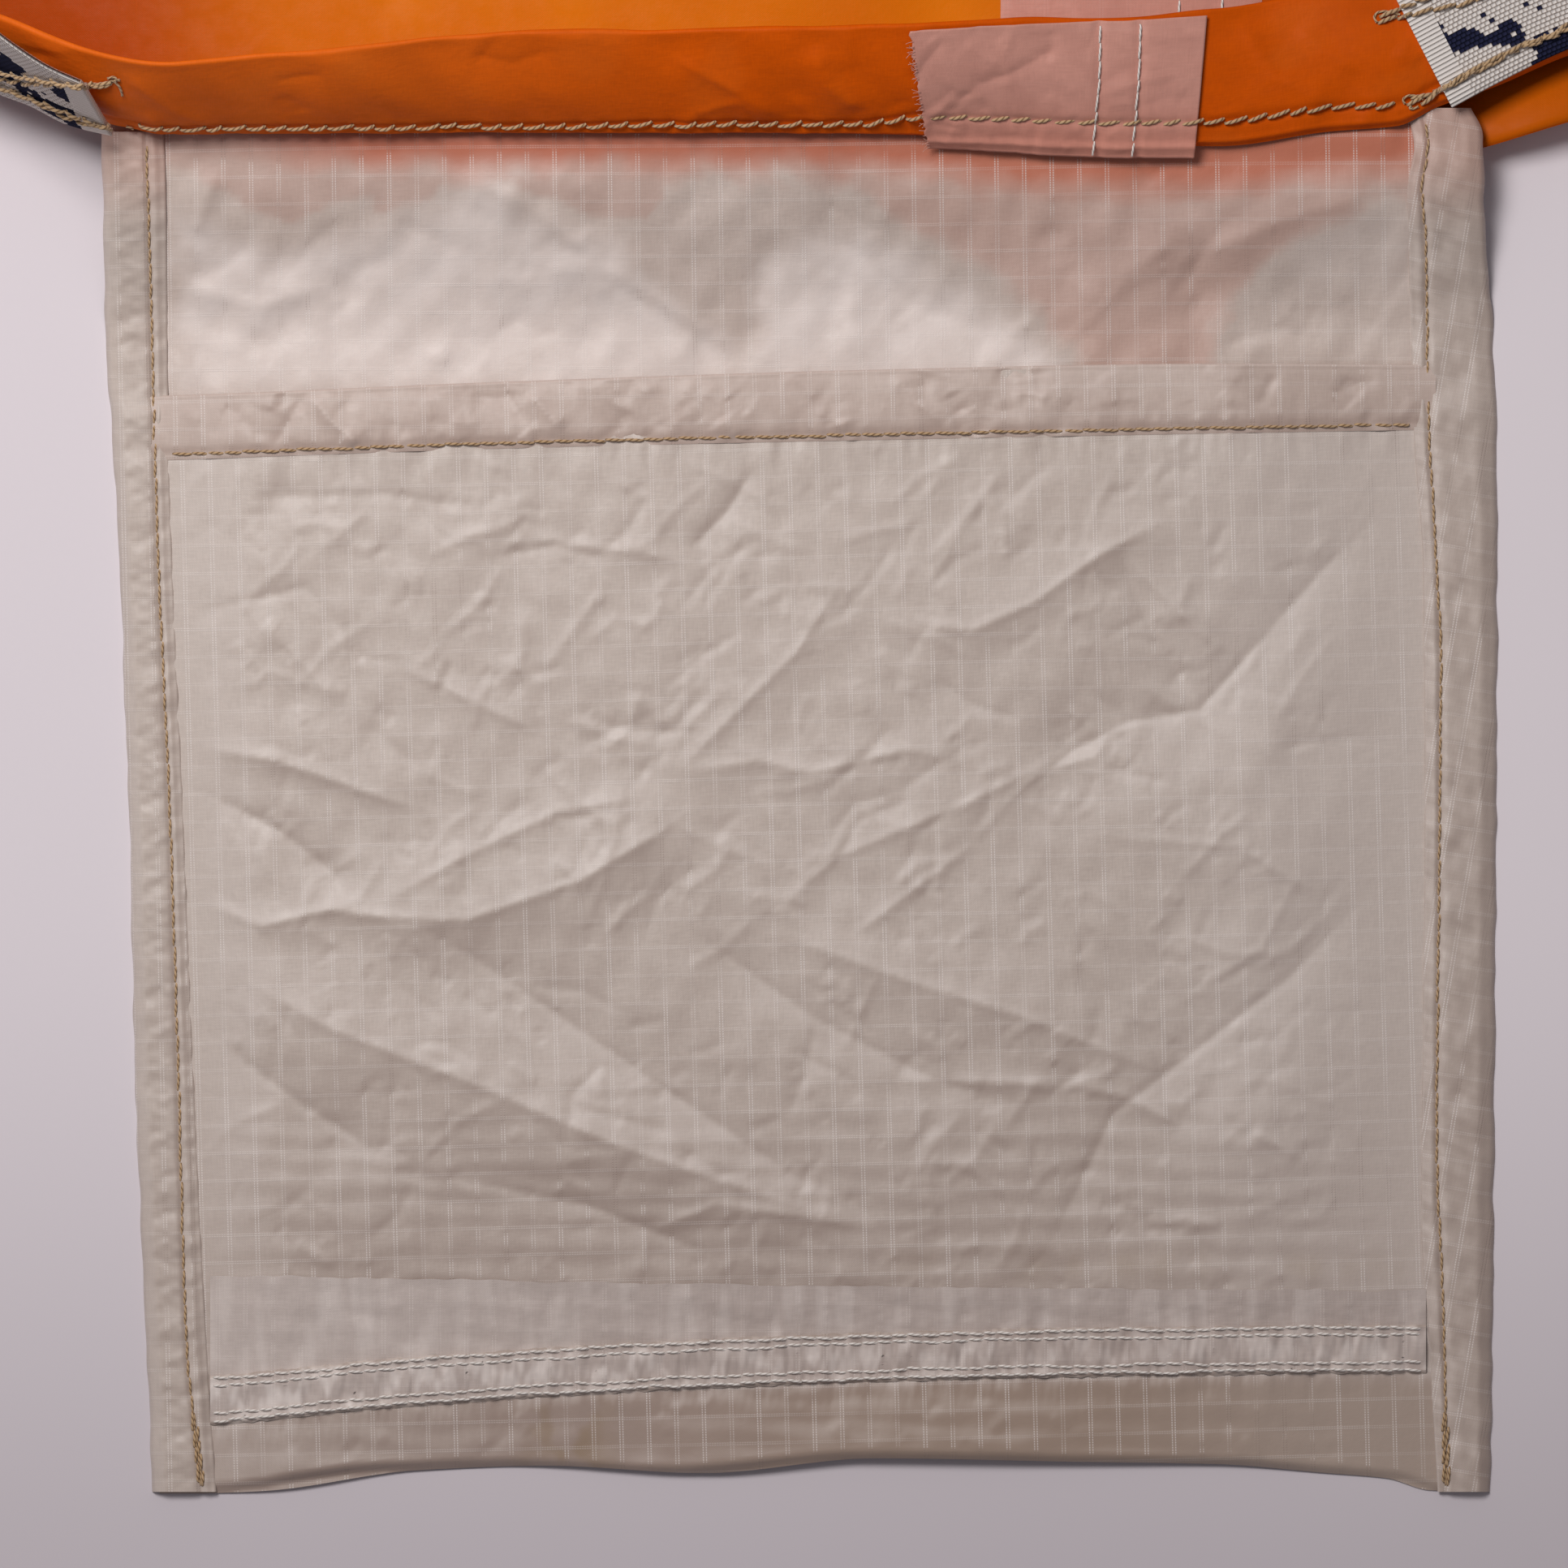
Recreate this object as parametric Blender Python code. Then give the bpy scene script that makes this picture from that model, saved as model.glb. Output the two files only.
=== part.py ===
"""Tote bag sewn from kite cloth, lying flat with its inner pocket pulled out in front of the mouth.

Units are metres. +X runs across the bag, +Y from the mouth to the bottom seam, +Z up from the table.
The pocket turns about the crease under the front hem, the shoulder strap about its two sewn roots.
"""
import math

import bmesh
import bpy
from mathutils import Vector

MM = 0.001

# Cloth as modelled: one ply, and the clearance kept between pieces that touch on the real bag.
PLY = 0.6 * MM
GAP = 0.35 * MM
THREAD_WIDTH = 0.8 * MM
THREAD_HEIGHT = 0.4 * MM
THIN_PLY = 0.3 * MM
SEAM_GAP = 0.3 * MM

# Bag body.
BAG_HALF_WIDTH = 200.0 * MM
BAG_BOTTOM_Y = 313.0 * MM
SEAM_WIDTH = 3.9 * MM
SEAM_HEIGHT = 3.2 * MM
PANEL_HALF_WIDTH = BAG_HALF_WIDTH - SEAM_WIDTH - SEAM_GAP
PANEL_END_Y = BAG_BOTTOM_Y - SEAM_WIDTH - SEAM_GAP
EDGE_HEIGHT = 2.6 * MM
CREASE_Y = -74.3 * MM
CREASE_HEIGHT = 12.0 * MM
BELLY = 12.0 * MM
RIM_RISE = 26.0 * MM
RIM_FLAT_HALF = 105.0 * MM

# Front hem, turned back onto the front panel.
HEM_WIDTH = 25.0 * MM
HEM_START = 1.5 * MM
HEM_LIFT = 0.8 * MM
HEM_TOP = 2 * PLY + 0.4 * MM
HEM_TILT = math.radians(38)
HEM_TILT_SWING = math.radians(20)
HEM_STITCH_AT = 2.0 * MM

# Webbing: sewn ends on the hem, free strap between them.
WEB_WIDTH = 25.0 * MM
WEB_THICK = 1.3 * MM
WEB_INNER_X = 124.5 * MM
STRAP_BEND = 22.0 * MM
STRAP_REACH = 300.0 * MM
STRAP_CLEAR = 2.2 * MM

# Pocket, sewn under the hem along the crease.
POCKET_TOP_Y = CREASE_Y - 0.4 * MM
POCKET_AXIS = (0, CREASE_Y - 0.9 * MM, 13.6 * MM)
POCKET_BOTTOM_Y = -313.0 * MM
POCKET_TOP_Z = 10.5 * MM
POCKET_RAMP = 35.0 * MM
POUCH_MOUTH_Y = -120.0 * MM
POUCH_ARCH = 7.0 * MM
SIDE_HEM_WIDTH = 11.6 * MM
SIDE_HEM_Z = 1.9 * MM
MOUTH_HEM_WIDTH = 10.5 * MM
ALLOWANCE_TOP_Y = -275.5 * MM
TAPE_WIDTH = 8.5 * MM

UP = Vector((0, 0, 1))


def smoothstep(value, low, high):
    t = min(max((value - low) / (high - low), 0.0), 1.0)
    return t * t * (3 - 2 * t)


def mix(a, b, t):
    return a + (b - a) * t


# ---------------------------------------------------------------- surfaces the pieces lie on

def rim_y(x):
    """The mouth edge of the bag: straight behind the pocket, drawn back towards the side seams."""
    return CREASE_Y + RIM_RISE * smoothstep(abs(x), RIM_FLAT_HALF, BAG_HALF_WIDTH)


def panel_top(x, y):
    """Height of the front panel's upper face."""
    mouth = rim_y(x)
    along = min(max((y - mouth) / (BAG_BOTTOM_Y - mouth), 0.0), 1.0)
    crown = mix(CREASE_HEIGHT, EDGE_HEIGHT, along) + BELLY * math.sin(math.pi * along)
    across = 1 - min(abs(x) / BAG_HALF_WIDTH, 1.0) ** 6
    return EDGE_HEIGHT + (crown - EDGE_HEIGHT) * across


def hem_tilt(x):
    """The turned-back hem stands steeper on the left than on the right."""
    fade = 1 - smoothstep(abs(x), 140 * MM, BAG_HALF_WIDTH)
    return HEM_TILT - HEM_TILT_SWING * math.tanh(x / (70 * MM)) * fade


def hem_point(x, width, lift):
    """A point on the turned-back hem: width from the crease to the rim fold, lift off its lower face."""
    tilt = hem_tilt(x)
    root_y = rim_y(x) + HEM_START
    root_z = panel_top(x, root_y) + HEM_LIFT
    y = root_y + width * math.cos(tilt) - lift * math.sin(tilt)
    z = root_z + width * math.sin(tilt) + lift * math.cos(tilt)
    return Vector((x, y, z))


def hem_normal(x):
    tilt = hem_tilt(x)
    return Vector((0, -math.sin(tilt), math.cos(tilt)))


def pocket_left(y):
    return mix(-120.0 * MM, -111.0 * MM, (POCKET_TOP_Y - y) / (POCKET_TOP_Y - POCKET_BOTTOM_Y))


def pocket_right(y):
    return 122.5 * MM + 2.5 * MM * smoothstep(POCKET_TOP_Y - y, 0, 70 * MM)


def pocket_x(y, across, inset):
    """A point across the pocket, from its left edge at 0 to its right edge at 1, less an inset."""
    return mix(pocket_left(y) + inset, pocket_right(y) - inset, across)


def pocket_base(y):
    """Underside of the pocket: on the table, rising to the crease."""
    return POCKET_TOP_Z * smoothstep(y, POCKET_TOP_Y - POCKET_RAMP, POCKET_TOP_Y)


def pouch_top(x, y):
    """Upper face of the pouch ply, arched between the side hems and closed at the bottom fold."""
    centre = 0.5 * (pocket_left(y) + pocket_right(y))
    half = 0.5 * (pocket_right(y) - pocket_left(y)) - SIDE_HEM_WIDTH - 1.0 * MM
    across = 1 - min(abs(x - centre) / half, 1.0) ** 6
    return 2 * PLY + GAP + POUCH_ARCH * across * smoothstep(y, -290 * MM, -235 * MM)


def tape_y(x):
    """Middle of the seam tape, which climbs a little to the right."""
    return mix(-296.3 * MM, -287.4 * MM, (x + 100.4 * MM) / (213.4 * MM))


# ---------------------------------------------------------------- building blocks

def material(name, red, green, blue, roughness):
    """A Principled material from an sRGB colour in 0 to 255."""
    made = bpy.data.materials.get(name)
    if made is None:
        made = bpy.data.materials.new(name)
        made.use_nodes = True
        shader = made.node_tree.nodes["Principled BSDF"]
        linear = [(c / 255) ** 2.2 for c in (red, green, blue)]
        shader.inputs["Base Color"].default_value = (*linear, 1)
        shader.inputs["Roughness"].default_value = roughness
        shader.inputs["Metallic"].default_value = 0.0
    return made


def orange_cloth():
    return material("orange_ripstop", 205, 90, 20, 0.55)


def pale_cloth():
    return material("pale_ripstop", 200, 190, 180, 0.55)


def pink_cloth():
    return material("pink_ripstop", 208, 158, 145, 0.6)


def tape_cloth():
    return material("white_seam_tape", 214, 208, 204, 0.6)


def webbing():
    return material("ribbed_webbing", 225, 215, 210, 0.85)


def tan_thread():
    return material("tan_thread", 165, 135, 95, 0.8)


def white_thread():
    return material("white_thread", 225, 215, 205, 0.8)


def slab(name, surface, columns, rows, thickness, look, parent):
    """A closed sheet. surface(s, t) gives the lower face's point and the direction of the thickness."""
    bm = bmesh.new()
    lower, upper = [], []
    for j in range(rows + 1):
        low_row, high_row = [], []
        for i in range(columns + 1):
            point, direction = surface(i / columns, j / rows)
            low_row.append(bm.verts.new(point))
            high_row.append(bm.verts.new(point + direction * thickness))
        lower.append(low_row)
        upper.append(high_row)
    for j in range(rows):
        for i in range(columns):
            bm.faces.new((lower[j][i], lower[j + 1][i], lower[j + 1][i + 1], lower[j][i + 1]))
            bm.faces.new((upper[j][i], upper[j][i + 1], upper[j + 1][i + 1], upper[j + 1][i]))
    for i in range(columns):
        bm.faces.new((lower[0][i], lower[0][i + 1], upper[0][i + 1], upper[0][i]))
        bm.faces.new((lower[-1][i + 1], lower[-1][i], upper[-1][i], upper[-1][i + 1]))
    for j in range(rows):
        bm.faces.new((lower[j + 1][0], lower[j][0], upper[j][0], upper[j + 1][0]))
        bm.faces.new((lower[j][-1], lower[j + 1][-1], upper[j + 1][-1], upper[j][-1]))
    bmesh.ops.recalc_face_normals(bm, faces=bm.faces)
    mesh = bpy.data.meshes.new(name)
    bm.to_mesh(mesh)
    bm.free()
    mesh.materials.append(look)
    made = bpy.data.objects.new(name, mesh)
    bpy.context.scene.collection.objects.link(made)
    made.parent = parent
    if parent is not None:
        made.matrix_parent_inverse = parent.matrix_world.inverted()
    return made


def stitch_row(name, path, normal, columns, look, parent):
    """A thread row: a narrow strip along path(t), standing off along normal(t)."""
    def surface(s, t):
        here, ahead = path(s), path(s + 0.001)
        side = (ahead - here).normalized().cross(normal(s))
        return here + side * (t - 0.5) * THREAD_WIDTH, normal(s)
    return slab(name, surface, columns, 1, THREAD_HEIGHT, look, parent)


# ---------------------------------------------------------------- bag body

def make_panels():
    def front(s, t):
        x = mix(-PANEL_HALF_WIDTH, PANEL_HALF_WIDTH, s)
        y = mix(rim_y(x), PANEL_END_Y, t)
        return Vector((x, y, panel_top(x, y) - PLY)), UP

    def back(s, t):
        x = mix(-PANEL_HALF_WIDTH, PANEL_HALF_WIDTH, s)
        y = mix(rim_y(x) + 1.0 * MM, PANEL_END_Y, t)
        return Vector((x, y, 0)), UP

    def back_hem(s, t):
        x = mix(-PANEL_HALF_WIDTH, PANEL_HALF_WIDTH, s)
        y = rim_y(x) + 1.5 * MM + HEM_WIDTH * t
        return Vector((x, y, PLY + GAP)), UP

    slab("front_panel", front, 36, 24, PLY, orange_cloth(), None)
    slab("back_panel", back, 24, 12, PLY, orange_cloth(), None)
    slab("back_hem", back_hem, 24, 2, PLY, orange_cloth(), None)

    def back_thread(t):
        x = mix(-190 * MM, 190 * MM, t)
        return Vector((x, rim_y(x) + 1.5 * MM + HEM_WIDTH - 3 * MM, 2 * PLY + 2 * GAP))
    stitch_row("back_hem_thread", back_thread, lambda t: UP, 48, tan_thread(), None)


def make_seams():
    inner = BAG_HALF_WIDTH - SEAM_WIDTH
    for side, name in ((-1, "left"), (1, "right")):
        def seam(s, t, side=side):
            x = side * mix(inner, BAG_HALF_WIDTH, s)
            y = mix(rim_y(BAG_HALF_WIDTH) + 1.5 * MM, PANEL_END_Y, t)
            return Vector((x, y, 0)), UP
        slab("side_seam_" + name, seam, 1, 24, SEAM_HEIGHT, orange_cloth(), None)

        def thread(t, side=side):
            y = mix(rim_y(BAG_HALF_WIDTH) + 3 * MM, PANEL_END_Y - 1 * MM, t)
            return Vector((side * 0.5 * (inner + BAG_HALF_WIDTH), y, SEAM_HEIGHT + GAP))
        stitch_row("side_seam_thread_" + name, thread, lambda t: UP, 12, tan_thread(), None)

    def bottom(s, t):
        x = mix(-BAG_HALF_WIDTH, BAG_HALF_WIDTH, s)
        return Vector((x, mix(BAG_BOTTOM_Y - SEAM_WIDTH, BAG_BOTTOM_Y, t), 0)), UP
    slab("bottom_seam", bottom, 24, 1, SEAM_HEIGHT, orange_cloth(), None)

    def bottom_thread(t):
        x = mix(-PANEL_HALF_WIDTH, PANEL_HALF_WIDTH, t)
        return Vector((x, BAG_BOTTOM_Y - 0.5 * SEAM_WIDTH, SEAM_HEIGHT + GAP))
    stitch_row("bottom_seam_thread", bottom_thread, lambda t: UP, 12, tan_thread(), None)


def make_front_hem():
    """Two plies joined at the rim fold, as one closed strip with a hairpin section."""
    middle = 0.5 * (HEM_TOP - PLY)
    turn = HEM_WIDTH - middle - 0.5 * PLY
    section_steps = 30

    def section(t):
        """Point along the hairpin (width, lift) and the way its thickness goes, for t from 0 to 1."""
        if t < 0.4:
            return turn * t / 0.4, 0.5 * PLY, 0.0
        if t > 0.6:
            return mix(turn, 1.0 * MM, (t - 0.6) / 0.4), HEM_TOP - 0.5 * PLY, math.pi
        angle = math.pi * (t - 0.4) / 0.2
        return turn + middle * math.sin(angle), 0.5 * HEM_TOP - middle * math.cos(angle), angle

    def surface(s, t):
        x = mix(-PANEL_HALF_WIDTH, PANEL_HALF_WIDTH, s)
        width, lift, angle = section(t)
        tilt = hem_tilt(x) + angle
        outward = Vector((0, math.sin(tilt), -math.cos(tilt)))
        return hem_point(x, width, lift) - outward * 0.5 * PLY, outward

    slab("front_hem", surface, 48, section_steps, PLY, orange_cloth(), None)


def make_patches():
    patch_low, patch_high = 22 * MM, 75 * MM
    patch_lift = HEM_TOP + GAP

    def patch(s, t):
        x = mix(patch_low, patch_high, s)
        return hem_point(x, mix(0.5 * MM, HEM_WIDTH - 0.5 * MM, t), patch_lift), hem_normal(x)
    slab("hem_patch", patch, 10, 4, THIN_PLY, pink_cloth(), None)

    row_lift = patch_lift + THIN_PLY + GAP
    for number, x in ((1, 56.5 * MM), (2, 63.5 * MM)):
        def row(t, x=x):
            return hem_point(x, mix(3.5 * MM, HEM_WIDTH - 1.5 * MM, t), row_lift)
        stitch_row(f"hem_patch_thread_{number}", row, lambda t, x=x: hem_normal(x), 4, white_thread(), None)

    def hem_thread(t):
        x = mix(-113 * MM, 107 * MM, t)
        on_patch = smoothstep(x, patch_low - 4 * MM, patch_low - 1 * MM)
        on_patch *= 1 - smoothstep(x, patch_high + 1 * MM, patch_high + 4 * MM)
        return hem_point(x, HEM_STITCH_AT, mix(patch_lift, row_lift, on_patch))
    stitch_row("front_hem_thread", hem_thread, lambda t: UP, 110, tan_thread(), None)

    def stripe(s, t):
        y = mix(CREASE_Y + 2 * MM, PANEL_END_Y - 3 * MM, t)
        x = mix(36 * MM, 84 * MM, s)
        return Vector((x, y, panel_top(x, y) + SEAM_GAP)), UP
    slab("panel_stripe", stripe, 8, 24, THIN_PLY, pink_cloth(), None)

    for number, x in ((1, 69 * MM), (2, 76.5 * MM)):
        def seam(t, x=x):
            y = mix(CREASE_Y + 32 * MM, PANEL_END_Y - 6 * MM, t)
            return Vector((x, y, panel_top(x, y) + 0.95 * MM))
        stitch_row(f"panel_stripe_thread_{number}", seam, lambda t: UP, 24, white_thread(), None)


def make_webbing_ends():
    lift = HEM_TOP + GAP
    for side, name in ((-1, "left"), (1, "right")):
        def end(s, t, side=side):
            x = side * mix(WEB_INNER_X, BAG_HALF_WIDTH, s)
            return hem_point(x, WEB_WIDTH * t, lift), hem_normal(x)
        slab("webbing_end_" + name, end, 12, 3, WEB_THICK, webbing(), None)

        for place, width in (("lower", 3 * MM), ("upper", 22 * MM)):
            def row(t, side=side, width=width):
                x = side * mix(WEB_INNER_X + 1 * MM, BAG_HALF_WIDTH - 1 * MM, t)
                return hem_point(x, width, lift + WEB_THICK + GAP)

            def row_normal(t, side=side):
                return hem_normal(side * mix(WEB_INNER_X + 1 * MM, BAG_HALF_WIDTH - 1 * MM, t))
            stitch_row(f"webbing_thread_{name}_{place}", row, row_normal, 24, tan_thread(), None)


# ---------------------------------------------------------------- shoulder strap

def strap_root():
    """Middle of the webbing where the free strap leaves the bag, on the right-hand side."""
    x = BAG_HALF_WIDTH + SEAM_GAP
    return hem_point(x, 0.5 * WEB_WIDTH, HEM_TOP + GAP + 0.5 * WEB_THICK)


def strap_middle(t):
    """The strap's middle line from the right root (0) over the panel to the left root (1)."""
    root = strap_root()
    side = 1 if t <= 0.5 else -1
    u = min(t, 1 - t) * 2
    bend_share = 0.08
    half_width = root.x + STRAP_BEND
    if u < bend_share:
        angle = 0.5 * math.pi * u / bend_share
        x = root.x + STRAP_BEND * math.sin(angle)
        y = root.y + STRAP_BEND * (1 - math.cos(angle))
    else:
        angle = 0.5 * math.pi * (u - bend_share) / (1 - bend_share)
        x = half_width * math.cos(angle)
        y = root.y + STRAP_BEND + STRAP_REACH * math.sin(angle)
    ground = panel_top(min(x, 190 * MM), y) * (1 - smoothstep(x, 205 * MM, half_width))
    laid = ground + STRAP_CLEAR + 0.5 * WEB_WIDTH
    return Vector((side * x, y, mix(root.z, laid, smoothstep(u, 0, 0.12))))


def make_strap(pivot):
    """Webbing that leaves the hem at its tilt and turns on edge as it bends back over the panel."""
    flat = Vector((0, math.cos(HEM_TILT), math.sin(HEM_TILT)))

    def surface(s, t):
        middle = strap_middle(s)
        step = 0.0005
        low, high = max(s - step, 0), min(s + step, 1)
        tangent = (strap_middle(high) - strap_middle(low)).normalized()
        if s in (0, 1):
            tangent = Vector((1, 0, 0))
        on_edge = smoothstep(min(s, 1 - s), 0, 0.09)
        across = flat.lerp(UP, on_edge)
        across = (across - tangent * across.dot(tangent)).normalized()
        normal = tangent.cross(across).normalized()
        return middle + across * (t - 0.5) * WEB_WIDTH - normal * 0.5 * WEB_THICK, normal

    slab("shoulder_strap", surface, 160, 2, WEB_THICK, webbing(), pivot)


# ---------------------------------------------------------------- pocket

def make_pocket_cloth(pivot):
    edge = 1.0 * MM

    def back(s, t):
        y = mix(POCKET_BOTTOM_Y + 0.5 * MM, POCKET_TOP_Y, t)
        return Vector((pocket_x(y, s, edge), y, pocket_base(y))), UP
    slab("pocket_back", back, 12, 60, PLY, pale_cloth(), pivot)

    def pouch(s, t):
        y = mix(POCKET_BOTTOM_Y, POUCH_MOUTH_Y, t)
        x = pocket_x(y, s, edge)
        return Vector((x, y, pouch_top(x, y) - PLY)), UP
    slab("pocket_pouch", pouch, 40, 30, PLY, pale_cloth(), pivot)

    inset = SIDE_HEM_WIDTH + 0.6 * MM

    def mouth_hem(s, t):
        y = mix(POUCH_MOUTH_Y - MOUTH_HEM_WIDTH, POUCH_MOUTH_Y, t)
        x = pocket_x(y, s, inset)
        return Vector((x, y, pouch_top(x, y) + GAP)), UP
    slab("pocket_mouth_hem", mouth_hem, 40, 2, PLY, pale_cloth(), pivot)

    def mouth_thread(t):
        y = POUCH_MOUTH_Y - MOUTH_HEM_WIDTH + 0.8 * MM
        x = pocket_x(y, t, inset + 0.5 * MM)
        return Vector((x, y, pouch_top(x, y) + 2 * GAP + PLY))
    stitch_row("pocket_mouth_thread", mouth_thread, lambda t: UP, 60, tan_thread(), pivot)


def make_pocket_side_hems(pivot):
    """The side hem folds over the top of both plies; its outer wall reaches down to the table."""
    wall = 0.5 * PLY
    shelf = SIDE_HEM_Z + 0.5 * PLY
    corner = 0.5 * MM

    for side, name in ((-1, "left"), (1, "right")):
        edge = pocket_left if side < 0 else pocket_right

        def surface(s, t, side=side, edge=edge):
            y = mix(POCKET_BOTTOM_Y, POCKET_TOP_Y, s)
            if t <= 0.4:
                inward, height, angle = mix(SIDE_HEM_WIDTH, wall + corner, t / 0.4), shelf, 0.0
            elif t < 0.7:
                angle = 0.5 * math.pi * (t - 0.4) / 0.3
                inward = wall + corner * (1 - math.sin(angle))
                height = shelf - corner * (1 - math.cos(angle))
            else:
                inward, angle = wall, 0.5 * math.pi
                height = mix(shelf - corner, 0.0, (t - 0.7) / 0.3)
            outward = Vector((side * math.sin(angle), 0, math.cos(angle)))
            middle = Vector((edge(y) - side * inward, y, pocket_base(y) + height))
            return middle - outward * 0.5 * PLY, outward
        slab("pocket_side_hem_" + name, surface, 60, 10, PLY, pale_cloth(), pivot)

        def row(t, side=side, edge=edge):
            y = mix(POCKET_BOTTOM_Y + 1.5 * MM, POCKET_TOP_Y - 3 * MM, t)
            return Vector((edge(y) - side * 8.8 * MM, y, pocket_base(y) + SIDE_HEM_Z + PLY + GAP))
        stitch_row("pocket_side_thread_" + name, row, lambda t: UP, 60, tan_thread(), pivot)


def make_pocket_seam(pivot):
    """A taped seam low on the pouch: the strip of turned allowance, the tape and four thread rows."""
    inset = SIDE_HEM_WIDTH + 0.6 * MM
    tape_lift = 2 * GAP + THIN_PLY
    tape_thick = 0.4 * MM

    def on_pouch(across, width_from_middle, lift):
        x = pocket_x(ALLOWANCE_TOP_Y, across, inset + 1.0 * MM)
        y = tape_y(x) + width_from_middle
        return Vector((x, y, pouch_top(x, y) + lift))

    def allowance(s, t):
        middle = on_pouch(s, 0, 0)
        y = mix(middle.y, ALLOWANCE_TOP_Y, t)
        return Vector((middle.x, y, pouch_top(middle.x, y) + GAP)), UP
    slab("pocket_seam_allowance", allowance, 32, 4, THIN_PLY, tape_cloth(), pivot)

    def tape(s, t):
        return on_pouch(s, (t - 0.5) * TAPE_WIDTH, tape_lift), UP
    slab("pocket_seam_tape", tape, 32, 2, tape_thick, tape_cloth(), pivot)

    for number, offset in enumerate((-3.6 * MM, -2.3 * MM, 2.3 * MM, 3.6 * MM), start=1):
        def row(t, offset=offset):
            return on_pouch(mix(0.005, 0.99, t), offset, tape_lift + tape_thick + GAP)
        stitch_row(f"pocket_seam_thread_{number}", row, lambda t: UP, 32, white_thread(), pivot)


# ---------------------------------------------------------------- assembly

def pivot_at(name, place):
    """An empty on a joint's axis, the parent of the pieces that turn about it."""
    made = bpy.data.objects.new(name, None)
    made.location = place
    bpy.context.scene.collection.objects.link(made)
    bpy.context.view_layer.update()
    return made


def main():
    for old in list(bpy.data.objects):
        bpy.data.objects.remove(old, do_unlink=True)
    make_panels()
    make_seams()
    make_front_hem()
    make_patches()
    make_webbing_ends()
    root = strap_root()
    make_strap(pivot_at("strap_pivot", (0, root.y, root.z)))
    pocket = pivot_at("pocket_pivot", POCKET_AXIS)
    make_pocket_cloth(pocket)
    make_pocket_side_hems(pocket)
    make_pocket_seam(pocket)


main()
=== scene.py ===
"""Looks of the kite-cloth tote bag with its pocket pulled out: cloth, folds, stitches, webbing.

Metres, in the frame's axes: +X across the bag, +Y from the mouth to the bottom seam, +Z up.
"""
import math

import bpy
import numpy as np
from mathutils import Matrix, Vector
from mathutils.bvhtree import BVHTree


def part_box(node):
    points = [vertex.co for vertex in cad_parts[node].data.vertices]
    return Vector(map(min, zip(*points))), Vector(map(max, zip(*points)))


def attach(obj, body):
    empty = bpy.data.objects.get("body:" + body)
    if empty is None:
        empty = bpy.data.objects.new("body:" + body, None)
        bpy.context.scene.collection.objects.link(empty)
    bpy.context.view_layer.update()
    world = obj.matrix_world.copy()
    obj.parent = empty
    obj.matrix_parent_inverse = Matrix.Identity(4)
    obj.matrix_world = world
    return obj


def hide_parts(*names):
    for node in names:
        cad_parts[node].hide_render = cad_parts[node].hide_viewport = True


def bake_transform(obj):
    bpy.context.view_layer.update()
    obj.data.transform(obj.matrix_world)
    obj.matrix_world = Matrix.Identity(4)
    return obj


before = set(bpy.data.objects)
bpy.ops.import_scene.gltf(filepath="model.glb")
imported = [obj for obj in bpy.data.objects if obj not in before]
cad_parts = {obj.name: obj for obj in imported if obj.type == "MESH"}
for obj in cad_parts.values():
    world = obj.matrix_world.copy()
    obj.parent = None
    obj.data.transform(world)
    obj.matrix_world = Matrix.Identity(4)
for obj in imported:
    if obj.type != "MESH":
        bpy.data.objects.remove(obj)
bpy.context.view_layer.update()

MM = 0.001

# ---------------------------------------------------------------- sizes, the first two read from the frame
BAG_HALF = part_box("side_seam_right")[1].x
BAG_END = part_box("bottom_seam")[1].y
PANEL_HALF, PANEL_END = 198.6, 311.6    # side and far edges of the panels' cloth, in mm
HEM_WIDTH = 25 * MM
WEB_WIDTH = 25 * MM
WEB_THICK = 1.3 * MM
WEB_RIBS = 32
SEWN_STEPS = 110            # points along each sewn end of the webbing
TOP = 1.7 * MM              # upper face of the front hem, from its lower face
POCKET_LOW, SIDE_LOW = 312.3, 312.6     # lower ends of the back ply and of the side hems, in mm
GRID_PITCH = 4.86 * MM      # reinforcing threads of the ripstop
FLOAT_PITCH = 0.44 * MM     # floats along a reinforcing thread
WEFT_PITCH, WARP_PITCH = 0.42 * MM, 0.38 * MM
THREAD_LAY = 1.1 * MM       # run of one twist of the sewing thread
UP = (0, 0, 1)
CAMERA_Y = -188 * MM
CAMERA_HEIGHT = 0.9
PHOTO_WIDTH = 276 * MM      # what the camera sees of the table plane


# ---------------------------------------------------------------- small maths
def smooth(value, low, high):
    t = np.clip((np.asarray(value, float) - low) / (high - low), 0, 1)
    return t * t * (3 - 2 * t)


def ease(value, low, high):
    """smooth with its limits in millimetres."""
    return smooth(value, low * MM, high * MM)


def hill(distance, width):
    """1 where distance is 0, falling away over width, in millimetres."""
    return np.exp(-(distance / (width * MM)) ** 2)


def run_along(points):
    """How far along a line each of its points lies."""
    return np.concatenate([[0], np.cumsum(np.linalg.norm(np.diff(points, axis=0), axis=1))])


def unit(vectors):
    return vectors / (np.linalg.norm(vectors, axis=1)[:, None] + 1e-12)


def relax(values, rounds):
    """Evens out neighbours along a line, in place, with both ends held."""
    for _ in range(rounds):
        values[1:-1] = 0.5 * values[1:-1] + 0.25 * (values[:-2] + values[2:])


def pairs(u, v):
    return np.stack(np.broadcast_arrays(u, v), -1).reshape(-1, 2)


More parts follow.
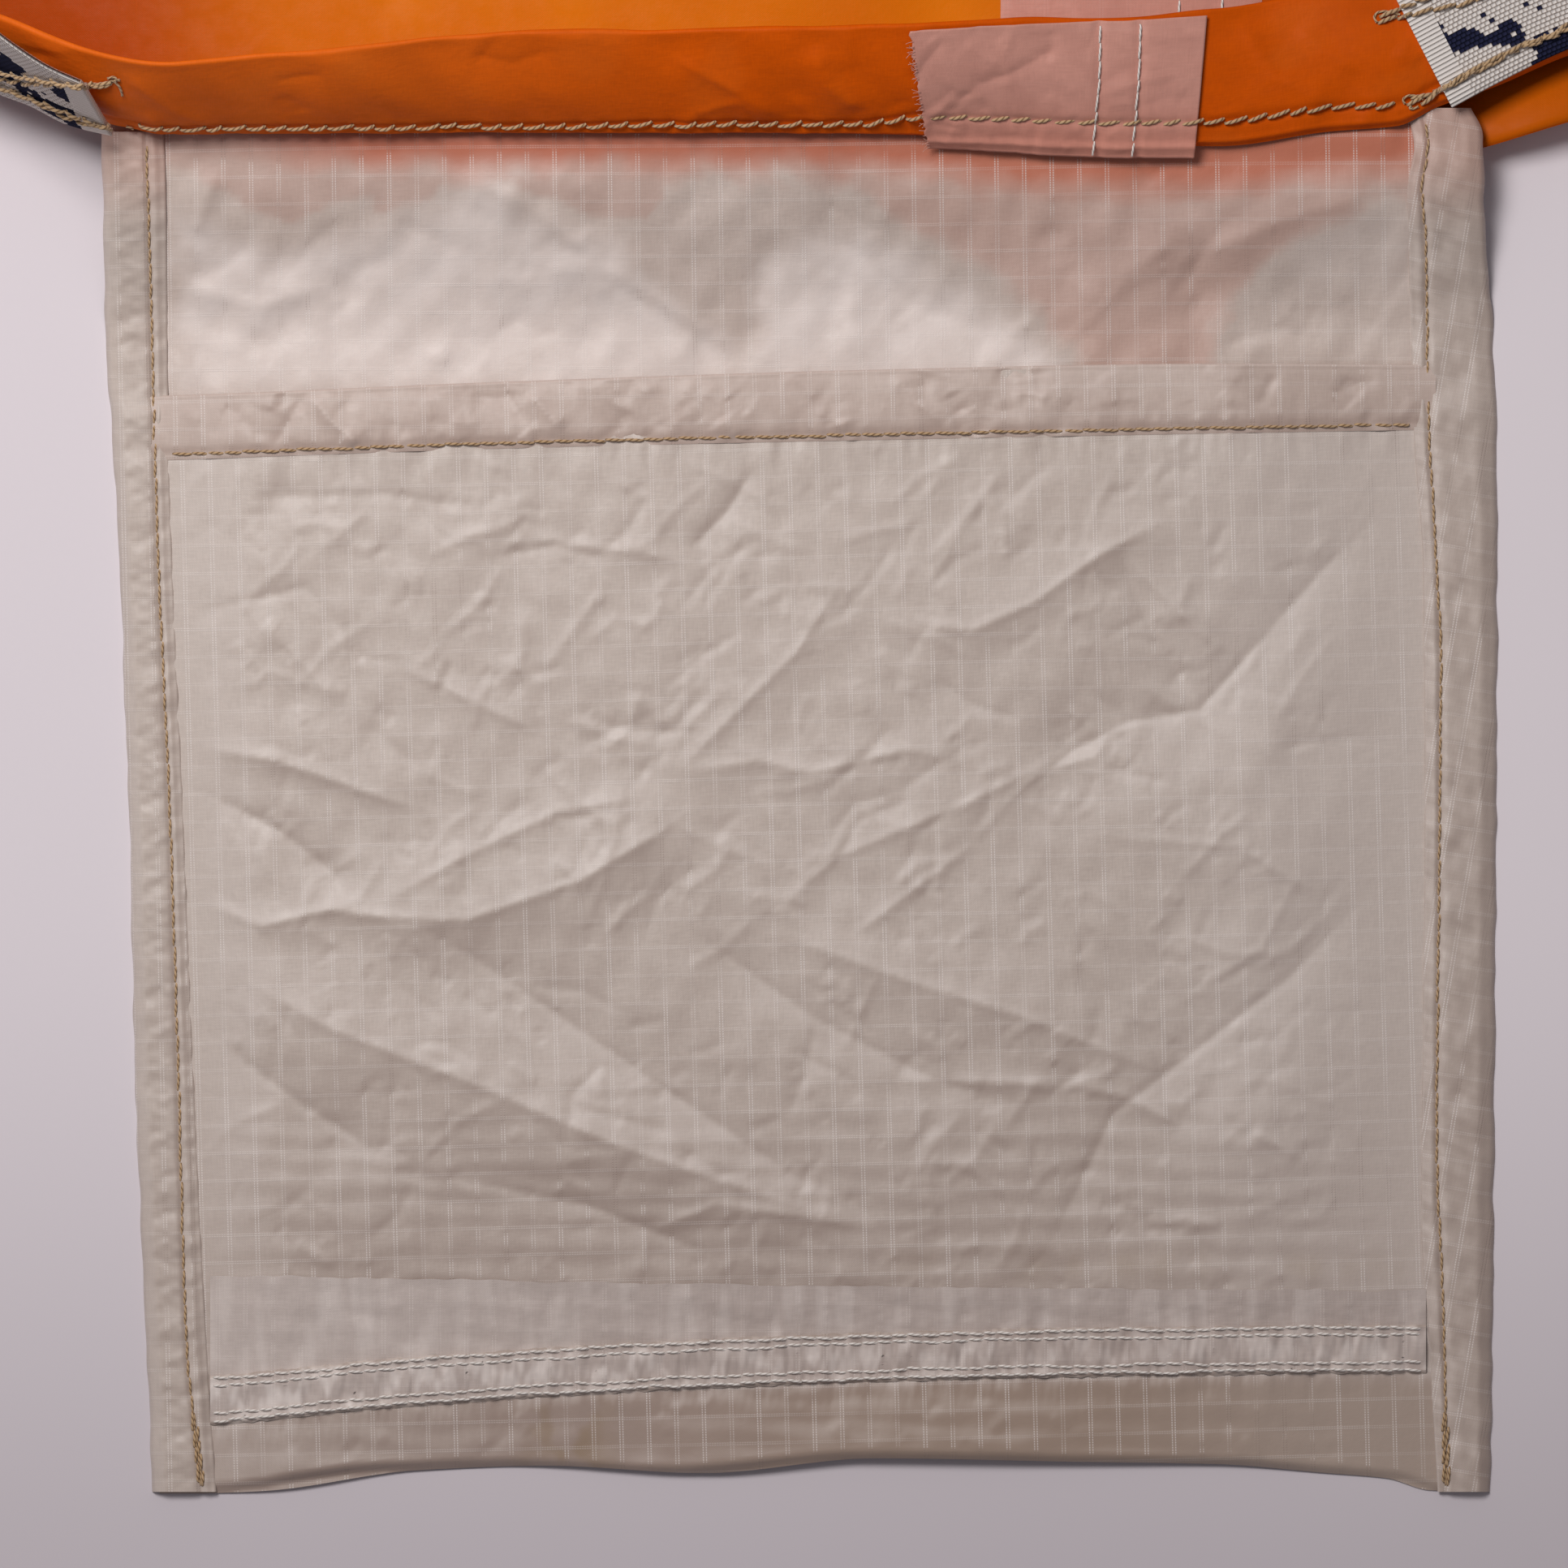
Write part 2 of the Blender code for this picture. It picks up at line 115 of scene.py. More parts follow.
def through(value, places, heights):
    """A smooth curve through given points in millimetres; takes and gives metres."""
    px, py = np.array(places, float), np.array(heights, float)
    steps = np.diff(py) / np.diff(px)
    same = steps[:-1] * steps[1:] > 0
    inner = np.where(same, 2 * steps[:-1] * steps[1:] / np.where(same, steps[:-1] + steps[1:], 1), 0)
    slope = np.concatenate([steps[:1], inner, steps[-1:]])
    v = np.clip(np.asarray(value, float) / MM, px[0], px[-1])
    i = np.clip(np.searchsorted(px, v) - 1, 0, len(px) - 2)
    h = px[i + 1] - px[i]
    t = (v - px[i]) / h
    a = (1 + 2 * t) * (1 - t) ** 2 * py[i] + t * (1 - t) ** 2 * h * slope[i]
    b = t * t * (3 - 2 * t) * py[i + 1] + t * t * (t - 1) * h * slope[i + 1]
    return (a + b) * MM


def waves(x, y, seed, size, octaves=3):
    """Seeded soft noise between about -1 and 1, from slanted sine waves about size mm long."""
    picks = np.random.default_rng(seed)
    total = np.zeros(np.broadcast(x, y).shape)
    for octave in range(octaves):
        for _ in range(4):
            angle, phase = picks.uniform(0, math.pi), picks.uniform(0, 2 * math.pi)
            pitch = size * MM / 1.9 ** octave * picks.uniform(0.7, 1.4)
            across = x * math.cos(angle) + y * math.sin(angle)
            total += np.sin(2 * math.pi * across / pitch + phase) / 4 / 1.6 ** octave
    return total


def crease(x, y, points, height, left, right):
    """A sharp fold along points, in mm, that falls to nothing left and right of the way it runs."""
    p = np.array(points, float) * MM
    length = run_along(p)
    best = np.full(x.shape, 1e9)
    side, run = np.zeros(x.shape), np.zeros(x.shape)
    for k in range(len(p) - 1):
        d = p[k + 1] - p[k]
        size = np.linalg.norm(d)
        t = np.clip(((x - p[k, 0]) * d[0] + (y - p[k, 1]) * d[1]) / size ** 2, 0, 1)
        ex, ey = x - p[k, 0] - t * d[0], y - p[k, 1] - t * d[1]
        far = np.hypot(ex, ey)
        closer = far < best
        best = np.where(closer, far, best)
        side = np.where(closer, d[0] * ey - d[1] * ex, side)
        run = np.where(closer, length[k] + t * size, run)
    wide = np.where(side > 0, left, right) * 1.5 * MM
    share = run / length[-1]
    taper = smooth(np.minimum(share, 1 - share), -0.02, 0.22)
    crisp = 0.1 * np.sign(height) * np.clip(1 - best / (1.5 * MM), 0, 1)
    return MM * (height * np.clip(1 - best / wide, 0, 1) ** 1.8 + crisp) * taper


def soft_shape(x, y, corners, softness):
    """1 inside the outline of corners (mm), 0 outside, fading over softness (mm)."""
    p = np.array(corners, float) * MM
    inside = np.zeros(x.shape, bool)
    best = np.full(x.shape, 1e9)
    for a, b in zip(p, np.roll(p, -1, axis=0)):
        d = b - a
        t = np.clip(((x - a[0]) * d[0] + (y - a[1]) * d[1]) / (d @ d), 0, 1)
        best = np.minimum(best, np.hypot(x - a[0] - t * d[0], y - a[1] - t * d[1]))
        crosses = (a[1] > y) != (b[1] > y)
        inside ^= crosses & (x < a[0] + (y - a[1]) / (d[1] if d[1] else 1e-9) * d[0])
    return ease(np.where(inside, best, -best), -softness, softness)


def small_creases(x, y, count, low, high, seed, height, long=22):
    """Seeded short creases inside a box; corners, height and length in mm."""
    picks = np.random.default_rng(seed)
    total = np.zeros(x.shape)
    for _ in range(count):
        cx, cy = picks.uniform(low[0], high[0]), picks.uniform(low[1], high[1])
        angle = picks.choice([-0.6, 0.7, 0.15, 1.2, -1.0]) + picks.normal(0, 0.25)
        half = picks.uniform(0.3, 1) * long / 2
        dx, dy = half * math.cos(angle), half * math.sin(angle)
        bend = picks.normal(0, 0.18) * half
        points = [(cx - dx, cy - dy), (cx - bend * dy / half, cy + bend * dx / half), (cx + dx, cy + dy)]
        sign = picks.choice([-1, 1])
        widths = picks.uniform(1.6, 7, 2)
        rise = sign * picks.uniform(0.3, 1) * height
        reach = (half + 1.5 * widths.max()) * MM
        near = (np.abs(x - cx * MM) < reach) & (np.abs(y - cy * MM) < reach)
        if near.any():
            total[near] += crease(x[near], y[near], points, rise, *widths)
    return total


# ---------------------------------------------------------------- lines of the real bag
def line_across(places, heights):
    """A line of the bag or pocket, from its y at places along x."""
    return lambda x: through(x, places, heights)


def line_down(places, sides):
    """A line of the pocket, from its x at distances in front of the origin."""
    return lambda y: through(-y, places, sides)


# Fold between the front panel and its turned-back hem, and the back panel's rim.
crease_y = line_across(
    [-200, -165, -138, -119, -106, 0, 25, 60, 76, 96, 108, 115, 125, 138, 165, 200],
    [-48, -57, -65.4, -71.9, -73.9, -74, -74.4, -76, -76, -73.3, -72.3, -69, -65.5, -60, -52, -48])
back_rim_y = line_across([-200, -138, -110, 0, 110, 138, 200], [-49, -62, -72.5, -73.5, -78, -71.5, -50])

# Outer edges of the pocket, inner folds of its side hems, and their stitch lines.
left_edge = line_down([74, 107, 150, 193, 235, 265, 313],
                      [-120.1, -119.4, -116.9, -115.4, -114.2, -113.3, -111.1])
right_edge = line_down([68, 74.3, 93, 107, 136, 193, 265, 313],
                       [120.8, 123, 123.6, 124.8, 125.5, 125.4, 124.9, 124.3])
left_fold = line_down([74, 79, 130, 193, 250, 277, 313],
                      [-109.4, -109.1, -108.4, -105.9, -103.6, -102.3, -100.1])
right_fold = line_down([68, 76, 83, 92, 124, 150, 193, 264, 285, 313],
                       [109.4, 111.1, 109.8, 110.1, 110.9, 112.7, 113, 112.4, 113.6, 115.3])
left_stitch = line_down([74, 107, 141, 187, 229, 276, 291, 302, 313],
                        [-112.3, -111.3, -110.4, -108.4, -106.9, -105.6, -104.9, -103.6, -102.4])
right_stitch = line_down([69, 75, 83, 93, 121, 150, 164, 207, 250, 277, 290, 313],
                         [112.1, 113.4, 112.4, 113, 113.4, 114.9, 115.6, 115.3, 114.9, 115.9, 116.3, 116.6])

# The pocket's wavy bottom fold, the folded edge of the pouch's mouth with its stitch line, the middle
# of the seam tape and the raw edge of the seam allowance.
bottom_y = line_across(
    [-112, -100, -72, -48, -19, 13, 50, 76, 97, 108, 116, 125],
    [-312.9, -312.4, -308.8, -308, -309.3, -306.7, -307.3, -307.7, -309.3, -310.2, -312.3, -312.6])
mouth_y = line_across([-120, -108, -47, 19, 76, 111, 126],
                      [-119.9, -119.6, -117.1, -115, -114, -114.2, -114.4])
mouth_stitch_y = line_across([-120, -108, -47, 19, 111, 126], [-130.4, -130, -127.9, -126.4, -124.7, -124.5])
tape_y = line_across([-112, -100, -72, -14, 50, 113, 125],
                     [-297, -296.4, -293.7, -290, -288, -287.4, -287.4])
allowance_y = line_across([-112, -100, -40, 30, 113], [-274.6, -274.6, -275.6, -276.6, -277.2])


def hem_tilt(x):
    """The turned-back hem stands steep on the left and lies nearly flat on the right."""
    degrees = through(x, [-200, -160, -138, -119, -92, -45, 22, 47, 74, 86, 110, 150, 200],
                      [38, 56, 60, 62, 56, 44, 38, 26, 17, 10, 8, 14, 38])
    return np.radians(degrees / MM)


def panel_top(x, y):
    """Upper face of the front panel."""
    mouth = crease_y(x)
    along = np.clip((y - mouth) / (BAG_END - mouth), 0, 1)
    crown = (12 + (2.6 - 12) * along + 12 * np.sin(math.pi * along)) * MM
    across = 1 - np.minimum(np.abs(x) / BAG_HALF, 1) ** 6
    return 2.6 * MM + (crown - 2.6 * MM) * across


# ---------------------------------------------------------------- the pocket's heights
POUCH_CREASES = [
    # points, height, width to the left, width to the right
    ([(-106, -181), (-89, -184), (-63, -193)], 0.8, 10, 3),
    ([(-105, -188), (-89, -196), (-79, -204), (-77, -210)], -0.9, 4, 5),
    ([(-80, -211), (-56, -212), (-36, -205), (-21, -196), (-15, -191)], 1.7, 15, 9),
    ([(-71, -209), (-55, -200), (-40, -193), (-24, -190)], 0.45, 4, 4),
    ([(-66, -212), (-54, -219), (-19, -243), (12, -264)], -1.3, 12, 9),
    ([(-101, -219), (-80, -231), (-54, -241), (-31, -251), (-2, -261), (14, -265)], 1.8, 12, 15),
    ([(-105, -229), (-84, -245), (-68, -255)], -1.0, 6, 9),
    ([(110, -136), (96, -149), (82, -165), (73, -175), (61, -177), (51, -182), (37, -194)], -1.8, 10, 15),
    ([(19, -159), (33, -161), (44, -156), (55, -148), (68, -141)], 0.75, 7, 5),
    ([(58, -146), (66, -163), (73, -175)], -0.8, 6, 6),
    ([(-3, -212), (9, -201), (33, -191), (51, -182)], 0.45, 6, 5),
    ([(12, -215), (25, -205), (34, -198)], 0.3, 4, 3),
    ([(-3, -214), (26, -224), (42, -229), (70, -240)], 0.9, 9, 7),
    ([(-19, -212), (5, -229), (26, -240), (44, -245)], -0.9, 9, 8),
    ([(52, -197), (80, -199), (90, -205), (84, -217), (66, -229)], 0.6, 14, 12),
    ([(51, -241), (60, -243), (70, -248)], 0.6, 5, 4),
    ([(82, -249), (91, -254)], 0.45, 3, 3),
    ([(-5, -132), (-10, -140), (-17, -147)], -0.6, 5, 3),
    ([(11, -151), (2, -165), (-10, -177), (-19, -186)], 0.5, 6, 5),
    ([(-19, -186), (-5, -184), (5, -186), (22, -182), (32, -184)], 0.5, 4, 5),
    ([(-92, -159), (-78, -174)], 0.35, 3, 3),
    ([(-68, -167), (-43, -179)], 0.35, 4, 3),
    ([(-105, -158), (-82, -153)], -0.35, 3, 4),
    ([(-104, -208), (-92, -213), (-80, -210), (-66, -212)], 0.7, 4, 4),
    ([(-26, -268), (-12, -262), (16, -266)], 0.45, 4, 4),
    ([(19, -240), (51, -241)], 0.35, 4, 4),
    ([(86, -182), (98, -180), (110, -181)], -0.9, 7, 11),
    ([(-52, -148), (-40, -146), (-30, -149)], -0.4, 4, 5),
    ([(-60, -257), (-35, -262), (-10, -272)], -0.7, 6, 6),
    ([(107, -203), (89, -222), (58, -246), (46, -271)], -1.5, 20, 18),
    ([(26, -169), (33, -174), (42, -177)], -0.4, 4, 4),
    ([(60, -148), (66, -154), (73, -161), (78, -166)], 0.35, 4, 3),
    ([(41, -189), (48, -185), (55, -183), (57, -179), (66, -177)], 0.35, 3, 3),
    ([(56, -185), (68, -188)], -0.3, 3, 3),
    ([(-38, -174), (-31, -178), (-14, -179)], -0.35, 4, 4),
    ([(-96, -138), (-70, -137), (-52, -140)], -0.35, 6, 6),
    ([(-42, -144), (-38, -146), (-26, -147), (-18, -149)], 0.3, 3, 3),
]


def pocket_base(y):
    """Underside of the pocket: on the table, rising to the crease under the hem."""
    return 10.5 * MM * ease(y, -110, -74.7)


def bottom_lift(x, y):
    """The bottom fold stands a little off the table in the middle."""
    wavy = (1.3 + 1.1 * np.sin(x / MM / 24 + 0.6)) * MM
    return wavy * ease(-y, 285, 309) * ease(110 * MM - np.abs(x - 5 * MM), 0, 30)


def creases(x, y, folds, share=1.0):
    """All the folds of a table: points, height, width to the left and width to the right, in mm."""
    return sum(crease(x, y, points, share * height, left, right) for points, height, left, right in folds)


BACK_CREASES = [
    ([(-60, -80), (-45, -86), (-30, -98), (-8, -112)], 1.4, 14, 10),
    ([(5, -76), (10, -92), (28, -108), (36, -118)], -1.1, 12, 12),
    ([(112, -82), (90, -88), (60, -100), (44, -116)], 1.3, 12, 16),
    ([(-108, -100), (-92, -104), (-80, -100)], 0.7, 5, 5),
    ([(-100, -80), (-104, -92)], 0.7, 4, 4),
    ([(66, -94), (74, -101), (70, -108)], -0.7, 6, 6),
    ([(-34, -98), (-20, -106), (-8, -116)], -0.6, 5, 6),
]
MOUTH_CREASES = [
    ([(-84, -119), (-80, -124), (-74, -129)], 0.5, 3, 2),
    ([(-84, -119), (-87, -124), (-90, -129)], -0.4, 2, 3),
    ([(-45, -119), (-39, -126)], 0.45, 3, 2),
    ([(19, -116), (28, -125)], 0.45, 3, 2),
]
# On the hem the second number of a point is its width above the crease.
HEM_CREASES = [
    ([(-20, 20), (-8, 12), (0, 5)], 0.9, 4, 6),
    ([(5, 22), (8, 14), (14, 7)], 0.8, 3, 5),
    ([(-116, 22), (-108, 12), (-100, 4)], 0.5, 4, 4),
    ([(80, 24), (86, 12), (98, 4)], 0.8, 6, 8),
]


def back_top(x, y):
    """Upper face of the pocket's back ply."""
    shown = ease(y, -128, -112) * ease(-y, 74, 84)
    folds = creases(x, y, BACK_CREASES) + small_creases(x, y, 70, (-105, -120), (110, -80), 21, 0.3, 16)
    soft = 0.35 * MM * waves(x, y, 3, 22) + 0.3 * MM
    return np.maximum(pocket_base(y) + 0.25 * MM + (folds + soft) * shown, 0.25 * MM)


def pouch_top(x, y):
    """Upper face of the pouch ply: a low arch between the side hems, with sharp folds all over."""
    inside = ease(x - left_fold(y), -3, 16) * ease(right_fold(y) - x, -3, 34)
    arch = (1.1 + 2.0 * ease(y - tape_y(x), -4, 45) + 0.9 * ease(y - bottom_y(x), 1, 17)) * MM * inside
    folds = creases(x, y, POUCH_CREASES, 0.73)
    folds += small_creases(x, y, 260, (-106, -272), (112, -132), 5, 0.08)
    folds += small_creases(x, y, 420, (-106, -306), (112, -118), 6, 0.05, 8)
    folds -= 0.7 * MM * hill(np.hypot(x - 72 * MM, y + 213 * MM), 19)
    ripple = 0.05 * MM * np.sin(y / MM * 1.3 + 2 * waves(x, y, 8, 40)) * ease(-y, 225, 262)
    wavy = 0.2 * MM * waves(x, y, 11, 34)
    height = 1.1 * MM + arch + (folds + wavy + ripple) * inside + mouth_puckers(x, y) + tape_puckers(x, y)
    return np.maximum(height, 0.8 * MM) + bottom_lift(x, y)


def mouth_puckers(x, y):
    """Short pulls across the mouth hem where its stitching gathers it."""
    near = hill(y - mouth_stitch_y(x), 4.5)
    return 0.22 * MM * near * waves(x, y * 0.25, 31, 9)


def tape_puckers(x, y):
    """Small gathers along the taped seam."""
    near = hill(y - tape_y(x), 7)
    return 0.3 * MM * near * waves(x, y * 0.35, 32, 5.5)


# ---------------------------------------------------------------- meshes
def shades(dark, pale=0.0, bleed=0.0, stain=0.0):
    """What a sheet's points are painted with, each from 0 to 1: darker tone and painted shade, painted light,
    painted orange glow, and stains.
    """
    parts = np.broadcast_arrays(dark, pale, bleed, stain)
    return {key: np.clip(part, 0, 1) for key, part in zip(("dark", "pale", "bleed", "stain"), parts)}


def grid_object(name, rows, columns, place, uv, look, tone, painted_slope_light_and_shade=0.0, painted_glint_base=0.45):
    """An open sheet: place(s, t) and uv(s, t) take arrays from 0 to 1, s across and t along."""
    s, t = np.meshgrid(np.linspace(0, 1, columns + 1), np.linspace(0, 1, rows + 1))
    x, y, z = place(s, t)
    points = np.stack([x, y, z], -1).reshape(-1, 3)
    paint = tone(x, y)
    lit = facing(x, y, z - pocket_base(y))
    # Painted shade on slopes turned from the window, painted light and painted glints on slopes turned toward
    # it.
    paint["dark"] = np.clip(paint["dark"] + painted_slope_light_and_shade * np.clip(-2.0 * lit, 0, 0.5), 0, 1)
    paint["pale"] = np.clip(paint["pale"] + painted_slope_light_and_shade * np.clip(1.2 * lit, 0, 0.3), 0, 1)
    paint["glint"] = np.clip(painted_glint_base + 3.2 * lit + 0.35 * waves(x, y, 12, 60, 2), 0, 1)
    return mesh_object(name, points, grid_quads(rows + 1, columns + 1), look, pairs(*uv(s, t)), paint)


def facing(x, y, z):
    """How far a sheet turns toward the window, from its slopes: the painted sheen of the filament cloth,
    with painted light and painted shade, follows it.
    """
    across = np.gradient(z, axis=1) / (np.gradient(x, axis=1) + 1e-9)
    along = np.gradient(z, axis=0) / (np.gradient(y, axis=0) + 1e-9)
    return np.clip(0.45 * across - 0.9 * along, -0.5, 0.5)


def stand_under(points):
    """Slides raised points toward the camera's axis, so they show where their table-plane place would."""
    near = 1 - ease(points[:, 1], 20, 120)
    share = (1 - points[:, 2] / CAMERA_HEIGHT * near)[:, None]
    centre = np.array([0, CAMERA_Y])
    return np.column_stack([centre + (points[:, :2] - centre) * share, points[:, 2]])


def add(name, data):
    made = bpy.data.objects.new(name, data)
    bpy.context.scene.collection.objects.link(made)
    return made


def mesh_object(name, points, quads, look, uvs, tone=None, placed=False):
    """Builds a smooth-shaded mesh of quads, with cloth coordinates in metres and a shade per point."""
    if not placed:
        points = stand_under(points)
    mesh = bpy.data.meshes.new(name)
    mesh.vertices.add(len(points))
    mesh.vertices.foreach_set("co", points.astype(np.float32).ravel())
    mesh.loops.add(len(quads) * 4)
    mesh.loops.foreach_set("vertex_index", quads.astype(np.int32).ravel())
    mesh.polygons.add(len(quads))
    mesh.polygons.foreach_set("loop_start", np.arange(len(quads), dtype=np.int32) * 4)
    mesh.update(calc_edges=True)
    mesh.polygons.foreach_set("use_smooth", np.ones(len(quads), bool))
    layer = mesh.uv_layers.new(name="cloth")
    layer.data.foreach_set("uv", uvs[quads.ravel()].astype(np.float32).ravel())
    for key, values in (tone or {}).items():
        made = mesh.attributes.new(key, "FLOAT", "POINT")
        made.data.foreach_set("value", np.asarray(values, np.float32).ravel())
    mesh.materials.append(look)
    mesh.validate()
    return add(name, mesh)


def thicken(obj, thickness):
    """Gives a sheet its ply thickness, downwards."""
    obj.modifiers.new("ply", "SOLIDIFY").thickness = thickness


def grid_quads(rows, columns, ring=False):
    """Corner numbers of the quads between rows of points; ring closes each row on itself."""
    i = np.arange(rows - 1)[:, None] * columns
    j = np.arange(columns if ring else columns - 1)
    k = (j + 1) % columns
    return np.stack([i + j, i + k, i + columns + k, i + columns + j], -1).reshape(-1, 4)


def tube_mesh(paths, radii, sides):
    """Points, quads and coordinates of closed round strands along paths, each an (n, 3) array."""
    all_points, all_quads, all_uv, start = [], [], [], 0
    ring = np.linspace(0, 2 * math.pi, sides, endpoint=False)
    for path, radius in zip(paths, radii):
        tangent = unit(np.gradient(path, axis=0))
        up = np.where(np.abs(tangent[:, 2:]) > 0.9, [[1.0, 0, 0]], [[0, 0, 1.0]])
        side = unit(np.cross(tangent, up))
        lift = np.cross(side, tangent)
        run = run_along(path)[:, None]
        r = np.reshape(radius, (-1, 1)) * (1 + 0.16 * np.cos(2 * (ring - run / THREAD_LAY * math.pi)))
        out = (r * np.cos(ring))[..., None] * side[:, None] + (r * np.sin(ring))[..., None] * lift[:, None]
        all_points.append((path[:, None] + out).reshape(-1, 3))
        all_quads.append(start + grid_quads(len(path), sides, ring=True))
        all_uv.append(pairs(run, ring))
        start += len(path) * sides
    return np.concatenate(all_points), np.concatenate(all_quads), np.concatenate(all_uv)


def stitches(name, line, lift, look, pitch, radius, slant, seed, points=9, sides=8, placed=False):
    """A row of separate stitches along line, an (n, 3) array, with pitch, radius and slant in
    millimetres; lift is the way out of the cloth."""
    pitch, radius, slant = pitch * MM, radius * MM, slant * MM
    picks = np.random.default_rng(seed)
    run = run_along(line)
    count = max(int(run[-1] / pitch), 1)
    holes = np.linspace(0, run[-1], count + 1) + picks.normal(0, 0.07, count + 1) * pitch
    lift = np.broadcast_to(np.asarray(lift, float), line.shape)

    def read(array, at):
        return np.stack([np.interp(at, run, array[:, k]) for k in range(3)], -1)
    paths, radii = [], []
    gap = 0.02 * pitch
    t = np.linspace(0, 1, points)
    hump = np.sin(math.pi * t) ** 0.55
    for a, b in zip(holes[:-1], holes[1:]):
        at = a + gap + (b - a - 2 * gap) * t
        centre, out = read(line, at), read(lift, at)
        side = np.cross(unit(read(line, at + 1e-4) - read(line, at - 1e-4)), out)
        height = (-0.9 + 1.75 * hump) * radius * picks.uniform(0.92, 1.08)
        shift = slant * (t - 0.5) * 2 + picks.normal(0, 0.05 * MM)
        paths.append(centre + out * height[:, None] + side * shift[:, None])
        radii.append(radius * (0.72 + 0.28 * hump))
    shell, quads, uv = tube_mesh(paths, radii, sides)
    return mesh_object(name, shell, quads, look, uv, placed=placed)


# ---------------------------------------------------------------- materials
class Value:
    """An output in a node tree; arithmetic written with it becomes nodes."""

    def __init__(self, nodes, socket):
        self.nodes, self.socket = nodes, socket

    def __add__(self, other):
        return self.nodes.math("ADD", self, other)

    def __sub__(self, other):
        return self.nodes.math("SUBTRACT", self, other)

    def __rsub__(self, other):
        return self.nodes.math("SUBTRACT", other, self)

    def __mul__(self, other):
        return self.nodes.math("MULTIPLY", self, other)

    def __abs__(self):
        return self.nodes.math("ABSOLUTE", self)


class Nodes:
    """Short calls for building one material's node tree."""

    def __init__(self, name):
        self.material = bpy.data.materials.new(name)
        self.material.use_nodes = True
        self.tree = self.material.node_tree
        self.shader = self.tree.nodes["Principled BSDF"]

    def feed(self, sockets, inputs):
        for key, value in inputs.items():
            if isinstance(value, Value):
                self.tree.links.new(value.socket, sockets[key])
            elif isinstance(value, tuple) and len(value) < len(sockets[key].default_value):
                sockets[key].default_value = (*value, 1)
            else:
                sockets[key].default_value = value

    def make(self, kind, inputs, output=0, **settings):
        """One output of a new node; inputs are numbers, colours or other outputs."""
        node = self.tree.nodes.new("ShaderNode" + kind)
        for name, value in settings.items():
            setattr(node, name, value)
        self.feed(node.inputs, inputs)
        return Value(self, node.outputs[output])

    def math(self, operation, a, b=0.0):
        return self.make("Math", {0: a, 1: b}, operation=operation)

    def ramp(self, value, low, high, start=0.0, end=1.0):
        inputs = dict(enumerate((value, low, high, start, end)))
        return self.make("MapRange", inputs, interpolation_type="SMOOTHSTEP")

    def part(self, vector, number):
        return self.make("SeparateXYZ", {0: vector}, number)

    def cloth(self):
        vector = self.make("UVMap", {}, uv_map="cloth")
        return vector, self.part(vector, 0), self.part(vector, 1)

    def attribute(self, name):
        return self.make("Attribute", {}, "Fac", attribute_name=name)

    def noise(self, vector, scale, detail=3.0, roughness=0.55):
        inputs = {"Vector": vector, "Scale": scale, "Detail": detail, "Roughness": roughness}
        return self.make("TexNoise", inputs)

    def streaks(self, vector, x, y, detail=3.0, roughness=0.55):
        """Noise that is finer one way of the cloth than the other."""
        return self.noise(self.make("Mapping", {"Vector": vector, "Scale": (x, y, 1)}), 1, detail, roughness)

    def mix(self, factor, a, b):
        return self.make("Mix", {0: factor, 6: a, 7: b}, 2, data_type="RGBA")

    def bump(self, height, distance, strength, **under):
        return self.make("Bump", {"Strength": strength, "Distance": distance, "Height": height, **under})

    def finish(self, colour, roughness, **others):
        named = {name.replace("_", " "): value for name, value in others.items()}
        self.feed(self.shader.inputs, {"Base Color": colour, "Roughness": roughness, **named})
        return self.material


def srgb(*parts):
    """A colour's linear value from its red, green and blue, 0 to 255."""
    return tuple(((c / 255 + 0.055) / 1.055) ** 2.4 if c > 10 else c / 255 / 12.92 for c in parts)


def grid_line(n, position, other, dashed, spread):
    """A double reinforcing thread every grid pitch; dashed where its floats catch the light."""
    cell = n.math("FRACT", position * (1 / GRID_PITCH))
    away = abs(cell - 0.5) * (GRID_PITCH / MM)
    line = n.ramp(abs(away - spread), 0.16, 0.05)
    beat = n.math("FRACT", other * (1 / FLOAT_PITCH))
    dots = n.ramp(abs(beat - 0.5), 0.42, 0.2)
    return line * (dots * dashed + (1 - dashed))


